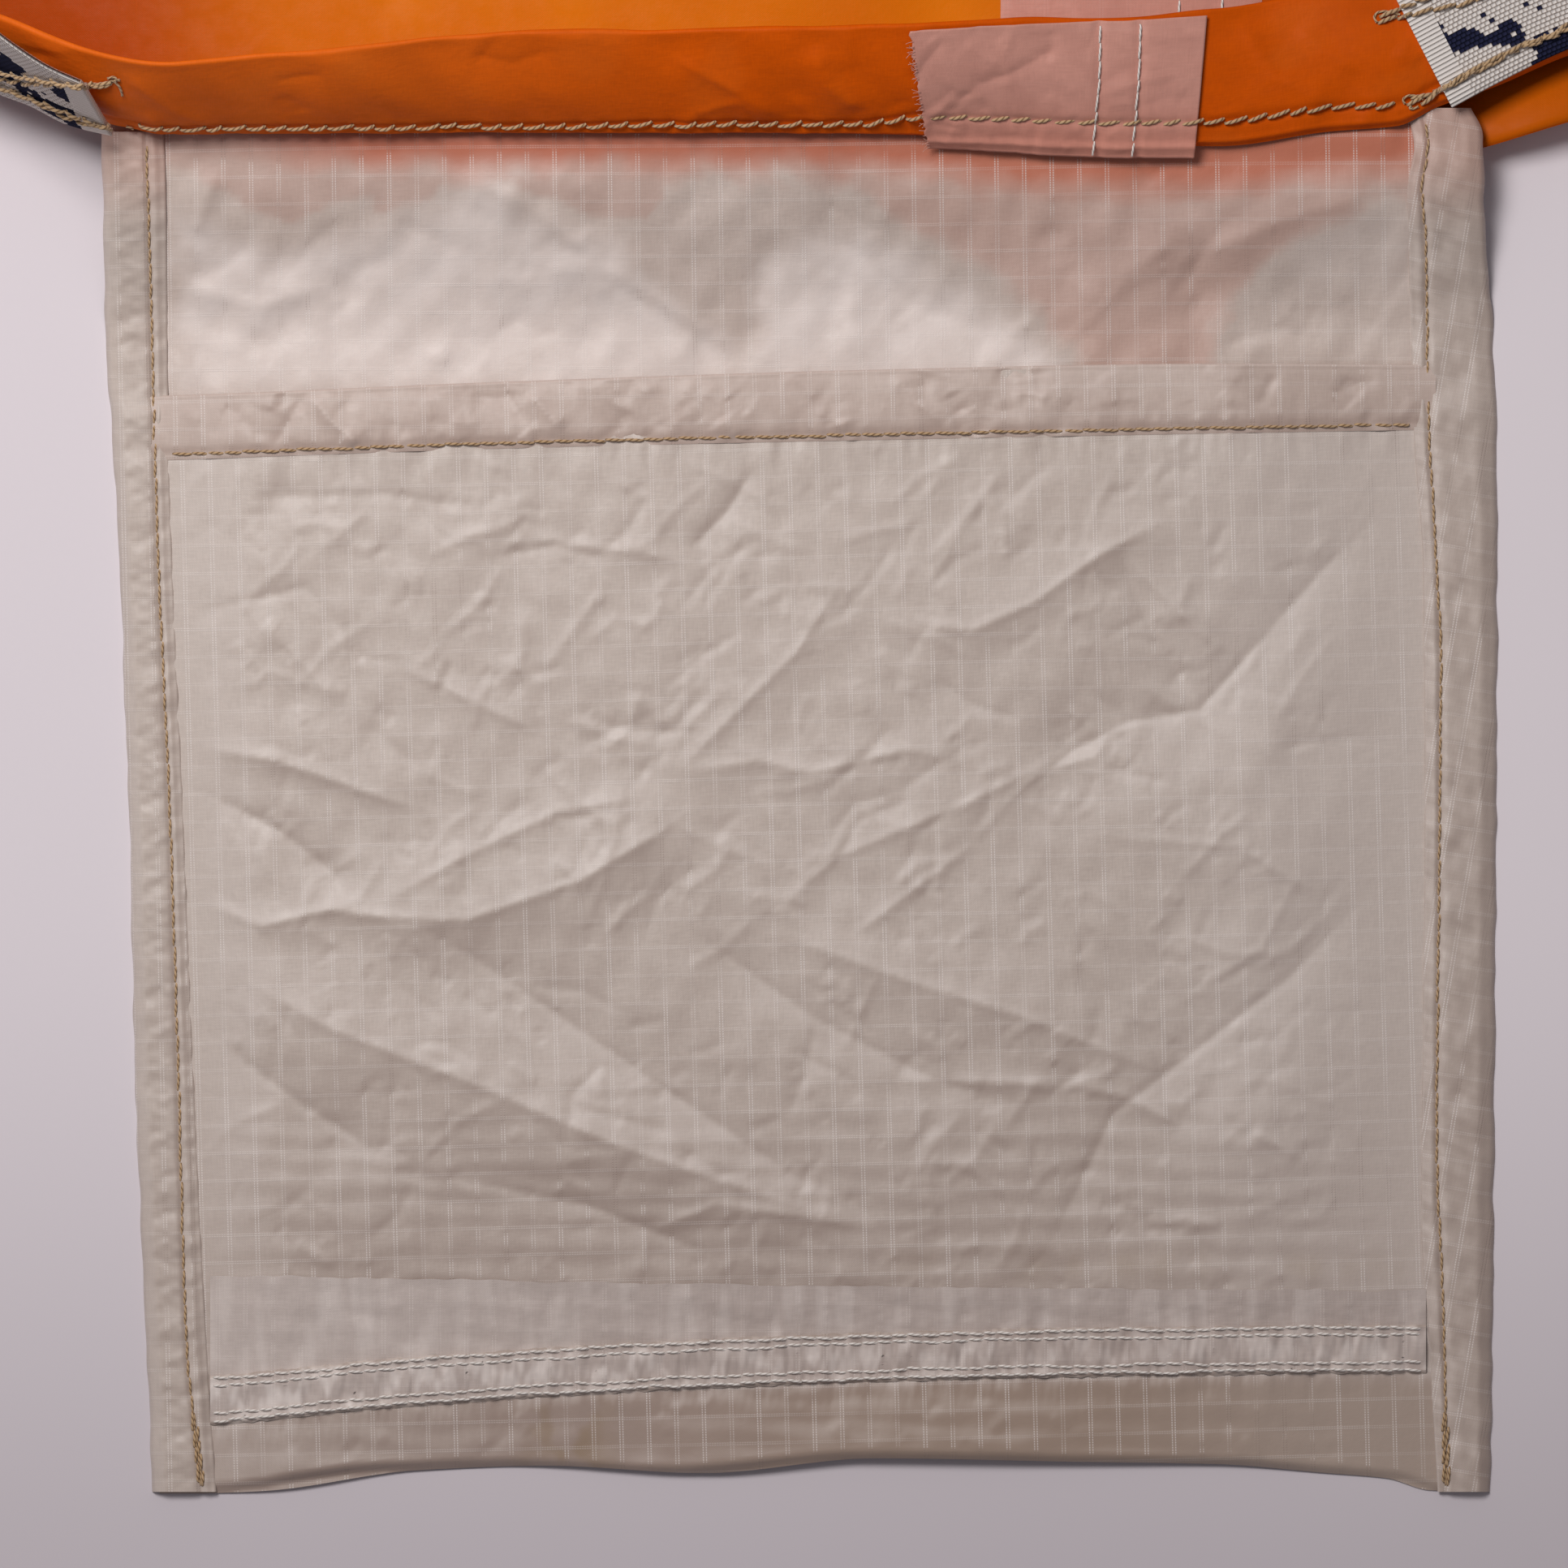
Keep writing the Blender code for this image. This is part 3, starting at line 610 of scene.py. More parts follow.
def ripstop(name, base, light, shade, bleed, grid=0.5, sheen=0.15, worn=0.0, gloss=0.35):
    """Coated ripstop: plain weave, a raised double-thread grid, blotches, and the shades painted on it:
    painted shade, painted light, painted orange glow and stains, and painted glints on the grid where it
    turns to the window.
    """
    n = Nodes(name)
    vector, u, v = n.cloth()
    patchy = n.noise(vector, 260, 2)
    lit = n.ramp(n.noise(vector, 55, 3), 0.3, 0.75)
    glint = n.attribute("glint")
    worn_off = n.ramp(n.streaks(vector, 210, 60, 2), 0.32, 0.6, 0.35, 1.0)
    along = grid_line(n, v, u, 0.7, 0.17) * (lit * 0.55 + 0.3)
    across = grid_line(n, u, v, 0.9, 0.27) * worn_off
    # Painted glints on the grid threads where the glint attribute is high; painted shade dims them where it
    # is low.
    bright = n.math("MAXIMUM", along * 0.55, across * n.ramp(glint, 0.05, 0.4))
    dim = across * n.ramp(glint, 0.3, 0.0)
    weft = n.math("SINE", u * (2 * math.pi / WEFT_PITCH))
    warp = n.math("SINE", v * (2 * math.pi / WARP_PITCH))
    plain = weft * warp
    fine = n.streaks(vector, 300, 4200, 2) + n.streaks(vector, 4200, 300, 2)
    dull, fresh = tuple(0.93 * c for c in base), tuple(min(1.06 * c, 1) for c in base)
    colour = n.mix(n.ramp(fine, 0.7, 1.3), dull, fresh)
    colour = n.mix((plain * 0.5 + 0.5) * 0.16, colour, shade)
    colour = n.mix(n.ramp(patchy, 0.35, 0.7) * 0.10, colour, shade)
    if worn:
        scuffs = n.ramp(n.streaks(vector, 60, 900, 5, 0.7), 0.6, 0.78)
        scuffs = scuffs * n.ramp(n.noise(vector, 900, 5, 0.75), 0.45, 0.7)
        colour = n.mix(scuffs * worn, colour, light)
    # Painted shade, painted light and painted orange glow from the point attributes; the stain attribute
    # holds stains, and on the pouch also painted shade below the tape.
    for key, paint in (("dark", shade), ("pale", light), ("bleed", bleed), ("stain", srgb(142, 116, 80))):
        colour = n.mix(n.attribute(key), colour, paint)
    colour = n.mix(bright * grid, colour, light)
    colour = n.mix(dim * (0.5 * grid), colour, shade)
    height = n.math("MAXIMUM", along, across) * min(grid, 0.45) + plain * 0.0875 + fine * 0.1225
    normal = n.bump(height, 0.09 * MM, 0.8)
    normal = n.bump(n.noise(vector, 700, 3), 0.25 * MM, 0.25, Normal=normal)
    return n.finish(colour, n.ramp(patchy, 0.3, 0.8, 0.42, 0.6), Normal=normal, Sheen_Weight=sheen,
                    Sheen_Roughness=0.4, Specular_IOR_Level=gloss)


def thread_look(name, colour, deep):
    """Two-ply thread: slanted shade in its lay, with fuzz."""
    n = Nodes(name)
    vector, run, ring = n.cloth()
    lay = ring * 2.0 - run * (2 * math.pi / THREAD_LAY)
    fuzz = n.streaks(vector, 3000, 2, 3)
    mixed = n.mix(n.ramp(n.math("COSINE", lay), -1.0, 0.1), deep, colour)
    mixed = n.mix(fuzz * 0.25, mixed, deep)
    normal = n.bump(fuzz, 0.08 * MM, 0.6)
    return n.finish(mixed, 0.75, Normal=normal, Sheen_Weight=0.3, Specular_IOR_Level=0.2)


def webbing_look():
    """Ribbed webbing: ropes of beads along its length, off-white with navy blotches woven in."""
    n = Nodes("ribbed webbing")
    vector, run, side = n.cloth()
    rib_pitch, bead_pitch = WEB_WIDTH / WEB_RIBS, 0.95 * MM
    woven = n.ramp(n.math("MINIMUM", run, n.attribute("length") - run), 4.3 * MM, 4.9 * MM)
    ribs = side * (1 / rib_pitch)
    rib = n.math("FLOOR", ribs)
    offset = n.math("MODULO", rib, 2.0) * 0.5
    beads = run * (1 / bead_pitch) + offset
    bead = n.math("FLOOR", beads) - offset
    cell = n.make("CombineXYZ", {0: bead * bead_pitch, 1: rib * rib_pitch})
    blotches = n.math("GREATER_THAN", n.streaks(cell, 75, 110, 1, 0.45), 0.53)
    specks = n.math("GREATER_THAN", n.noise(cell, 2600, 0), 0.76)
    navy = abs(blotches - specks) * n.math("GREATER_THAN", woven, 0.5)
    across, along = n.math("FRACT", ribs) - 0.5, n.math("FRACT", beads) - 0.5
    round_rib = 1.0 - across * across * 3.6
    round_bead = n.math("MAXIMUM", 1.0 - along * along * 3.2, 1.0 - woven)
    height = round_rib * round_bead
    # Painted shade in the hollows between ribs and beads, painted light on their raised tops.
    raised = n.ramp(height, 0.1, 0.6)
    pale = n.mix(raised, srgb(168, 152, 142), srgb(236, 228, 222))
    dark = n.mix(raised, srgb(14, 15, 28), srgb(38, 40, 66))
    normal = n.bump(height, 0.32 * MM, 0.9)
    normal = n.bump(n.noise(vector, 5000, 2), 0.1 * MM, 0.4, Normal=normal)
    return n.finish(n.mix(navy, pale, dark), 0.85, Normal=normal, Specular_IOR_Level=0.08)


def floor_look():
    """Pale table with painted light falloff: a little darker toward the viewer and brighter to the right."""
    n = Nodes("pale table")
    where = n.make("TexCoord", {}, "Object")
    colour = n.mix(n.noise(where, 900, 2) * 0.08, srgb(225, 216, 221), srgb(205, 196, 202))
    colour = n.mix(n.ramp(n.part(where, 0), 0.0, 0.3), colour, srgb(238, 229, 233))
    colour = n.mix(n.ramp(n.part(where, 1), -0.2, -0.36), colour, srgb(200, 191, 196))
    return n.finish(colour, 0.6, Specular_IOR_Level=0.2)


# Each ripstop gets its base colour, a light colour for painted light, glints and scuffs, a shade colour for
# painted shade and weave, and a colour for its painted orange glow.
orange = ripstop("orange ripstop", srgb(228, 93, 4), srgb(232, 132, 50), srgb(150, 56, 2), srgb(240, 136, 0),
                 grid=0.03, sheen=0.0, worn=0.3, gloss=0.06)
pale = ripstop("pale ripstop", srgb(200, 186, 176), srgb(240, 230, 225), srgb(164, 144, 134),
               srgb(190, 104, 74), grid=0.56)
pink = ripstop("pink ripstop", srgb(206, 146, 130), srgb(236, 196, 186), srgb(160, 104, 92),
               srgb(206, 100, 60), grid=0.12, gloss=0.2)
tape_cloth = ripstop("seam tape", srgb(202, 188, 181), srgb(238, 227, 221), srgb(152, 134, 126),
                     srgb(150, 112, 76), grid=0.25, sheen=0.3)
tan_thread = thread_look("tan thread", srgb(198, 166, 128), srgb(122, 92, 60))
white_thread = thread_look("white thread", srgb(240, 232, 226), srgb(188, 178, 170))
web = webbing_look()


def on_pocket(obj, *nodes, across_fold=False):
    """The piece rides on the pocket; where it crosses the crease it is left on no body, its place baked into
    its mesh.
    """
    if across_fold:
        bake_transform(obj)
    else:
        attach(obj, "pocket")
    if nodes:
        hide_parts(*nodes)


def on_bag(obj, *nodes):
    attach(obj, "bag")
    if nodes:
        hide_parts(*nodes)


# ---------------------------------------------------------------- pocket
# Patches of the single ply above the pouch, in mm, for its painted light and shade: shadowed lobes under
# the hem, a slanted fold in painted shade, a warm hollow on the right painted with orange glow, and where
# the ply rests on the table, painted pale as light comes through onto the white table.
LOBES = [(-111, -70), (-111, -79), (-103, -80), (-98, -84), (-91, -88), (-86, -89.5), (-80, -86),
         (-75, -84.5), (-69, -87.8), (-63, -85), (-58, -80.5), (-54.3, -79), (-49, -82), (-42, -85),
         (-34, -88), (-26, -88.5), (-21, -83), (-17.4, -75.5), (-12, -77), (0, -79), (14, -82), (14, -70)]
DIAGONAL = [(-28, -86), (-20, -84), (-13, -96), (-2, -101), (4, -107), (3, -110), (-4, -111), (-11, -105),
            (-20, -101), (-27, -94)]
HOLLOW = [(4, -74), (12.7, -82.9), (24.3, -91.7), (35.9, -98), (43.7, -104), (50.9, -112), (53, -119),
          (75, -119), (75.7, -112), (79, -103), (86, -95), (99.6, -88), (110, -80), (113, -72)]
REST_LEFT = [(-106, -89), (-90, -95), (-70, -91), (-54, -82), (-42, -90), (-30, -93), (-20, -105), (-9, -111),
             (-8, -119), (-107, -119)]
REST_MIDDLE = [(-4, -97), (6, -92), (14, -91), (25, -98), (38, -105), (48, -114), (46, -118), (-6, -118)]
REST_RIGHT = [(90, -92), (104, -87), (110, -88), (110, -100), (92, -102)]


def back_tone(x, y):
    """Painted orange glow under the hem, painted shade in lobes where the ply stands off the table,
    painted light where it rests on the white table.
    """
    top = crease_y(x) - y
    strength = (0.8 + 0.1 * ease(x, 20, 45)) * (0.3 + 0.7 * ease(x, -106, -66))
    depth = (9 + 4.5 * ease(x, 5, 45) + 2.0 * waves(x, y, 44, 12)) * MM
    bleed = 1.5 * strength * (1 - smooth(top, -0.2 * depth, 1.2 * depth))
    ragged = x + 2.2 * MM * waves(x, y, 43, 13)
    lobes = soft_shape(ragged, y, LOBES, 0.8)
    dark = 0.32 * lobes + 0.12 * soft_shape(ragged, y, DIAGONAL, 2) + 0.06 * waves(x, y, 41, 18)
    bleed = np.maximum(np.maximum(bleed, 0.3 * soft_shape(ragged, y, HOLLOW, 2.5)), 0.06 + 0.14 * lobes)
    white = 0.07 + 0.5 * soft_shape(ragged, y, REST_LEFT, 4) + 0.52 * soft_shape(ragged, y, REST_MIDDLE, 3.5)
    white += 0.12 * soft_shape(ragged, y, REST_RIGHT, 3)
    white *= 1 + 0.2 * waves(x, y, 42, 11)
    return shades(np.minimum(dark, 0.8), np.minimum(white, 0.85), np.minimum(bleed, 0.9))


def pouch_tone(x, y):
    """Painted shade growing toward the bottom and below the tape, stains under the tape, and a little
    painted light up at the mouth and on the right.
    """
    broad = smooth(waves(x, y, 51, 95, 2), -0.4, 0.8)
    shade = 0.42 * ease(-y, 200, 300) + 0.04 * broad + 0.03
    under = ease(tape_y(x) - y, 3, 7)
    stain = hill(x + 38 * MM, 7) * under * smooth(waves(x, y, 52, 12), -0.4, 0.6)
    line = hill(y - allowance_y(x) - 4 * MM, 2.5) * ease(x, 0, 60) * smooth(waves(x, y, 53, 26), -0.2, 0.7)
    # Painted shade below the tape, heavier to the right.
    painted_shade_under_tape = (0.12 + 0.74 * ease(x, -80, 10)) * under * (1 - 0.4 * smooth(waves(x, y, 54, 40, 2), 0, 0.8))
    # The stain attribute holds the stains and also painted shade below the tape on the right.
    stains_and_painted_shade = np.maximum(np.clip(0.5 * stain + 0.22 * line, 0, 1), 0.22 * under * ease(x, -50, 30))
    # Painted light up at the mouth on the left and on the right.
    pale = 0.03 * (1 - ease(-y, 125, 190)) * ease(-x, -60, 60) + 0.15 * ease(x, 55, 96)
    return shades(shade + painted_shade_under_tape, pale, 0.0, stains_and_painted_shade)


def make_pocket_back():
    def place(s, t):
        y = (-POCKET_LOW + (POCKET_LOW - 71.5) * t) * MM
        x = left_edge(y) + 0.7 * MM + (right_edge(y) - left_edge(y) - 1.4 * MM) * s
        y = np.maximum(y, bottom_y(x) + 1.2 * MM)
        under_hem = ease(y, -79, -73) * ease(x - left_fold(y), 1, 5) * ease(right_fold(y) - x, 1, 5)
        return x, y, back_top(x, y) + bottom_lift(x, y) * 0.6 + 1.1 * MM * under_hem
    made = grid_object("pocket_back_ply", 250, 260, place, place_uv(place, 0.012), pale, back_tone, 0.4, 0.6)
    on_pocket(made, "pocket_back", across_fold=True)


def place_uv(place, turn=0.0):
    """Cloth coordinates that follow the sheet as it lies seen from above, turned by some radians."""
    def uv(s, t):
        x, y, _ = place(s, t)
        drift = 0.5 * MM * waves(x, y, 14, 120, 1)
        return x * math.cos(turn) + y * math.sin(turn), y * math.cos(turn) - x * math.sin(turn) + drift
    return uv


def make_pouch():
    def place(s, t):
        across = (-120 + 246 * s) * MM
        low, high = bottom_y(across), mouth_y(across) - 0.6 * MM
        y = low + (high - low) * t
        left, right = left_edge(y) + 1.2 * MM, right_edge(y) - 1.2 * MM
        x = left + (right - left) * s
        edge = ease(y - bottom_y(x), -0.1, 1.6)
        rest = bottom_lift(x, y) + 0.3 * MM
        return x, y, rest + (pouch_top(x, y) - rest) * np.sqrt(edge)
    uv = place_uv(place, 0.026)
    made = grid_object("pocket_pouch_ply", 350, 430, place, uv, pale, pouch_tone, 1.0, 0.55)
    on_pocket(made, "pocket_pouch")


def make_mouth_hem():
    """The pouch's mouth, folded over: a rounded edge, the band on top and a turn underneath."""
    radius = 0.45 * MM
    first, last = left_fold(-120 * MM) - 4 * MM, right_fold(-120 * MM) + 4 * MM

    def place(s, t):
        # t runs over the band to 0.72, round the folded edge to 0.92 and back underneath to 1.
        x = first + (last - first) * s
        edge, stitch = mouth_y(x), mouth_stitch_y(x) - 1.0 * MM
        angle = np.clip((t - 0.72) / 0.2, 0, 1) * math.pi
        on_top = np.clip(t / 0.72, 0, 1)
        under = np.clip((t - 0.92) / 0.08, 0, 1)
        y = stitch + (edge - radius - stitch) * on_top + radius * np.sin(angle) - under * 3 * MM
        crown = 0.35 * MM * np.sin(math.pi * np.clip(on_top * 1.05, 0, 1)) ** 0.7
        pull = 0.3 * MM * hill(y - mouth_stitch_y(x), 1.0)
        folds = small_creases(x, y, 70, (-106, -130), (112, -115), 61, 0.3, 9) + creases(x, y, MOUTH_CREASES)
        raised = smooth(t, 0, 0.1)
        seat = 0.08 * MM + (0.37 * MM - pull) * raised
        z = pouch_top(x, np.minimum(y, stitch + 11 * MM)) + seat + crown + folds
        return x, y, z - radius * (1 - np.cos(angle))
    made = grid_object("pocket_mouth_hem_band", 60, 330, place, place_uv(place, 0.018), pale, hem_tone, 0.6)
    on_pocket(made, "pocket_mouth_hem")


def hem_tone(x, y):
    # Darker tone with random patches, and a little painted orange glow, over the mouth band.
    return shades(0.16 + 0.1 * waves(x, y, 71, 30), 0.0, 0.08)


def rolled(distance, radius):
    """0 at a rolled edge, rising over its radius to 1."""
    return np.sqrt(np.clip(1 - (1 - np.clip(distance / radius, 0, 1)) ** 2, 0, 1))


def side_hem_profile(d, width, stitch):
    """Height of a side hem at distance d from its outer edge: rolled edge, pinched stitches, inner ridge."""
    plateau = 1.25 * MM * rolled(d, 1.1 * MM) * (1 - 0.6 * smooth(d, width - 4.5 * MM, width))
    return plateau - 0.4 * MM * hill(d - stitch, 0.55) + 0.28 * MM * hill(d - (width - 1.6 * MM), 0.75)


def make_side_hem(side, name):
    outer, inner = (left_edge, left_fold) if side < 0 else (right_edge, right_fold)
    stitch_line = left_stitch if side < 0 else right_stitch
    top = -73.2 * MM if side < 0 else -69 * MM

    def surface(share, y):
        width = np.abs(inner(y) - outer(y))
        d = share * width
        x = outer(y) - side * d
        wobble = 0.25 * MM * waves(x * 0 + side, y, 80 + side, 16)
        gathered = np.exp(-((d - 0.6 * width) / (0.45 * width)) ** 2)
        pucker = 0.16 * MM * waves(x * 0.5, y, 84 + side, 7) * gathered
        slanted = 0.22 * MM * waves(x, y * 1.3, 88 + side, 13) * smooth(share, 0.02, 0.3)
        stitch = np.abs(stitch_line(y) - outer(y))
        # The band lies over the pouch below its mouth and over the back ply alone above it.
        seat = pocket_base(y) + (0.5 + 0.55 * ease(-y, 116, 124)) * MM * smooth(share, 0.02, 0.25)
        z = seat + side_hem_profile(d, width, stitch) + pucker + slanted + bottom_lift(inner(y), y) * 0.4
        return x + side * wobble * (1 - share), y, z

    def place(s, t):
        y = -SIDE_LOW * MM + (top + SIDE_LOW * MM) * t
        x, y, z = surface(np.clip(s / 0.92, 0, 1), y)
        # The last columns turn down under the inner fold.
        turn = np.clip((s - 0.92) / 0.08, 0, 1)
        return x - side * 0.25 * MM * np.sin(turn * math.pi), y, z - 1.0 * MM * turn
    uv = place_uv(place, -0.17 if side > 0 else 0.02)
    made = grid_object(f"pocket_side_hem_{name}_band", 420, 40, place, uv, pale, side_tone, 0.5)
    on_pocket(made, f"pocket_side_hem_{name}", across_fold=True)

    y = np.linspace(-311.5 * MM, top - 2.5 * MM, 700)
    x, y, z = surface(np.abs(stitch_line(y) - outer(y)) / np.abs(inner(y) - outer(y)), y)
    line = np.stack([x, y, z + 0.1 * MM], -1)
    row = stitches(f"pocket_side_stitches_{name}", line, UP, tan_thread, 3.15, 0.23, 0.12, 90 + side)
    on_pocket(row, f"pocket_side_thread_{name}", across_fold=True)
    for k, shift in enumerate((0.35, -0.4)):
        tack = line[line[:, 1] < (-301 + 2 * k) * MM] + np.array([shift, 0.6 * k, 0.28]) * MM
        on_pocket(stitches(f"pocket_backtack_{name}_{k + 1}", tack, UP, tan_thread, 2.6, 0.27, 0.2, 95 + k))


def side_tone(x, y):
    # Painted shade growing toward the bottom and over the right hem, with random tone, and painted orange
    # glow near the top.
    dull = 0.1 + 0.16 * ease(-y, 200, 300) + 0.1 * waves(x, y, 75, 28) + 0.22 * (x > 0)
    return shades(dull, 0.0, 0.25 * (1 - ease(-y, 76, 92)))


def make_mouth_stitches():
    x = np.linspace(-107.6 * MM, 110 * MM, 700)
    y = mouth_stitch_y(x)
    line = np.stack([x, y, pouch_top(x, y) + 0.4 * MM], -1)
    row = stitches("pocket_mouth_stitches", line, UP, tan_thread, 3.2, 0.27, 0.1, 97)
    on_pocket(row, "pocket_mouth_thread")


def make_seam():
    """The taped kite seam that runs across the pouch: turned allowance, tape and four stitch rows."""
    low_x, high_x = -101.0 * MM, 113.0 * MM

    def allowance(s, t):
        x = low_x + (high_x - low_x) * s
        ragged = 0.25 * MM * waves(x, x * 0, 102, 14)
        y = tape_y(x) + (allowance_y(x) + ragged - tape_y(x)) * t
        bumps = 0.16 * MM * waves(x, y, 103, 8)
        return x, y, pouch_top(x, y) + 0.32 * MM + bumps * smooth(1 - t, 0, 0.3)
    uv = place_uv(allowance)
    made = grid_object("pocket_seam_allowance_strip", 24, 330, allowance, uv, tape_cloth, allowance_tone)
    on_pocket(made, "pocket_seam_allowance")

    def tape_height(x, y):
        across = (y - tape_y(x)) / (4.4 * MM)
        gathers = 0.32 * MM * waves(x, y * 0.3, 105, 3.6, 2) * (0.45 + 0.55 * np.abs(across))
        channel = 0.16 * MM * hill(np.abs(y - tape_y(x)) - 3.0 * MM, 0.8)
        return pouch_top(x, y) + 0.85 * MM + gathers - channel

    def tape(s, t):
        x = low_x + (high_x - low_x) * s
        y = tape_y(x) + (t - 0.5) * 8.8 * MM + 0.18 * MM * waves(x, t, 106, 4, 2)
        rim = 0.72 * MM * (1 - smooth(np.minimum(t, 1 - t), 0, 0.07))
        return x, y, tape_height(x, y) - rim
    made = grid_object("pocket_seam_tape_band", 34, 640, tape, place_uv(tape), tape_cloth, tape_tone)
    on_pocket(made, "pocket_seam_tape")

    x = np.linspace(low_x + 0.6 * MM, high_x - 1.0 * MM, 1400)
    for number, offset in enumerate((-3.7, -2.4, 2.4, 3.7), start=1):
        y = tape_y(x) + offset * MM + 0.25 * MM * waves(x, x * 0, 110 + number, 20)
        line = np.stack([x, y, tape_height(x, y) + 0.1 * MM], -1)
        row = stitches(f"pocket_seam_stitches_{number}", line, UP, white_thread, 2.7, 0.25, 0.12,
                       120 + number, points=7, sides=6)
        on_pocket(row, f"pocket_seam_thread_{number}")


def allowance_tone(x, y):
    blotch = smooth(waves(x, y * 0.3, 107, 9), -0.2, 0.8)
    left = 1 - ease(x, -90, 0)
    return shades(0.4 - 0.16 * blotch - 0.16 * left, 0.12 * blotch + 0.1 * left)


def tape_tone(x, y):
    blotch = smooth(waves(x, y * 0.5, 108, 6), -0.3, 0.7)
    edge = hill(np.abs(y - tape_y(x)) - 4.2 * MM, 0.5)
    left = 1 - ease(x, -90, 20)
    # Painted shade over the tape, less on the left and on the far right; paler random blotches, more on the
    # left; brownish marks along its edges.
    dark = 0.3 + 0.2 * (1 - blotch) - 0.3 * left - 0.2 * ease(x, 50, 105)
    return shades(dark, (0.2 + 0.25 * left) * blotch, 0.0, 0.2 * edge)


# ---------------------------------------------------------------- bag body
def hem_root(x):
    y = crease_y(x)
    return y + 1.1 * MM * np.sin(hem_tilt(x)), panel_top(x, y) + 0.8 * MM


def hem_point(x, width, lift):
    """A point on the turned-back hem: width from the crease to the rim fold, lift off its lower face."""
    tilt = hem_tilt(x)
    y0, z0 = hem_root(x)
    bow = 1.6 * MM * np.sin(math.pi * np.clip(width / HEM_WIDTH, 0, 1))
    lift = lift + bow
    rise, run = np.sin(tilt), np.cos(tilt)
    return x, y0 + width * run - lift * rise, z0 + width * rise + lift * run


def hem_folds(x, width):
    """Soft slanted folds and stitch pulls over the hem."""
    pull = -0.35 * MM * hill(width - hem_stitch_width(x), 0.9)
    roll = 0.45 * MM * hill(width - 0.4 * MM, 0.9)
    slanted = 0.55 * MM * waves(x + 0.8 * width, width * 0.6, 131, 38) * ease(width, 1, 14)
    near = 0.2 * MM * waves(x, width * 0.3, 132, 8) * hill(width - 3 * MM, 5)
    small = small_creases(x, width - 12 * MM, 60, (-190, -12), (190, 13), 133, 0.35, 20)
    return pull + roll + slanted + near + small + creases(x, width, HEM_CREASES)


def make_hem():
    """Front hem: up from the crease, round the rim fold and back down to the stitch line, inside face up."""
    fold = 0.5 * MM

    def place(s, t):
        # t runs up the lower ply to 0.3, round the rim fold to 0.36 and down the upper ply to 1.
        x = (-196 + 392 * s) * MM
        upper = np.clip((t - 0.36) / 0.64, 0, 1)
        lower = np.clip(t / 0.3, 0, 1)
        turn = np.clip((t - 0.3) / 0.06, 0, 1) * math.pi
        reach = HEM_WIDTH - fold + 0.5 * MM * waves(x, x * 0, 134, 60)
        width = np.where(t < 0.33, reach * lower, reach * (1 - upper)) + fold * np.sin(turn)
        # The upper ply ends in a rolled edge just past the stitches.
        flat = 1 - smooth(upper, 0.94, 1.0)
        lift = fold * (1 - np.cos(turn)) * flat + 0.15 * MM * smooth(t, 0, 0.06)
        return hem_point(x, width, lift + hem_folds(x, width) * smooth(t, 0.3, 0.42) * flat)

    def uv(s, t):
        return s * 0.392, t * 0.055
    made = grid_object("front_hem_band", 110, 420, place, uv, orange, front_hem_tone)
    on_bag(made, "front_hem")
    return made


def front_hem_tone(x, y):
    # Painted shade growing toward the right and painted light toward the left, with random darker and paler
    # patches.
    dark = 0.1 + 0.22 * ease(x, -50, 80) - 0.1 * ease(-x, 20, 110)
    dark += 0.12 * smooth(waves(x, y, 135, 40), 0, 0.9)
    return shades(dark, 0.22 * ease(-x, 0, 90) + 0.06 * smooth(waves(x, y, 136, 25), 0.1, 0.9))


def hem_line(x, width, lift):
    """A line on the hem's upper face, with the way out of the cloth."""
    tilt = hem_tilt(x)
    out = np.stack([np.zeros(x.shape), -np.sin(tilt), np.cos(tilt)], -1)
    return np.stack(hem_point(x, width, lift + hem_folds(x, np.maximum(width, 0))), -1), out


def hem_stitch_width(x):
    """How far up the hem its stitches run, from how far above the crease they show."""
    shown = through(x, [-113, -52, -10, 12, 19, 26, 75, 96, 107],
                    [1.7, 1.7, 2.5, 2.5, 3.4, 4.6, 4.9, 4.5, 4.0])
    return (shown + 0.6 * MM * np.sin(hem_tilt(x))) / np.cos(hem_tilt(x))


def make_hem_stitches():
    x = np.linspace(-113.5 * MM, 107.5 * MM, 900)
    on_patch = ease(x, 21, 23) * (1 - ease(x, 73, 75))
    line, out = hem_line(x, hem_stitch_width(x), TOP + 0.05 * MM + 0.35 * MM * on_patch)
    row = stitches("front_hem_stitches", line, out, tan_thread, 3.75, 0.32, -0.45, 140, points=11, sides=10)
    on_bag(row, "front_hem_thread")


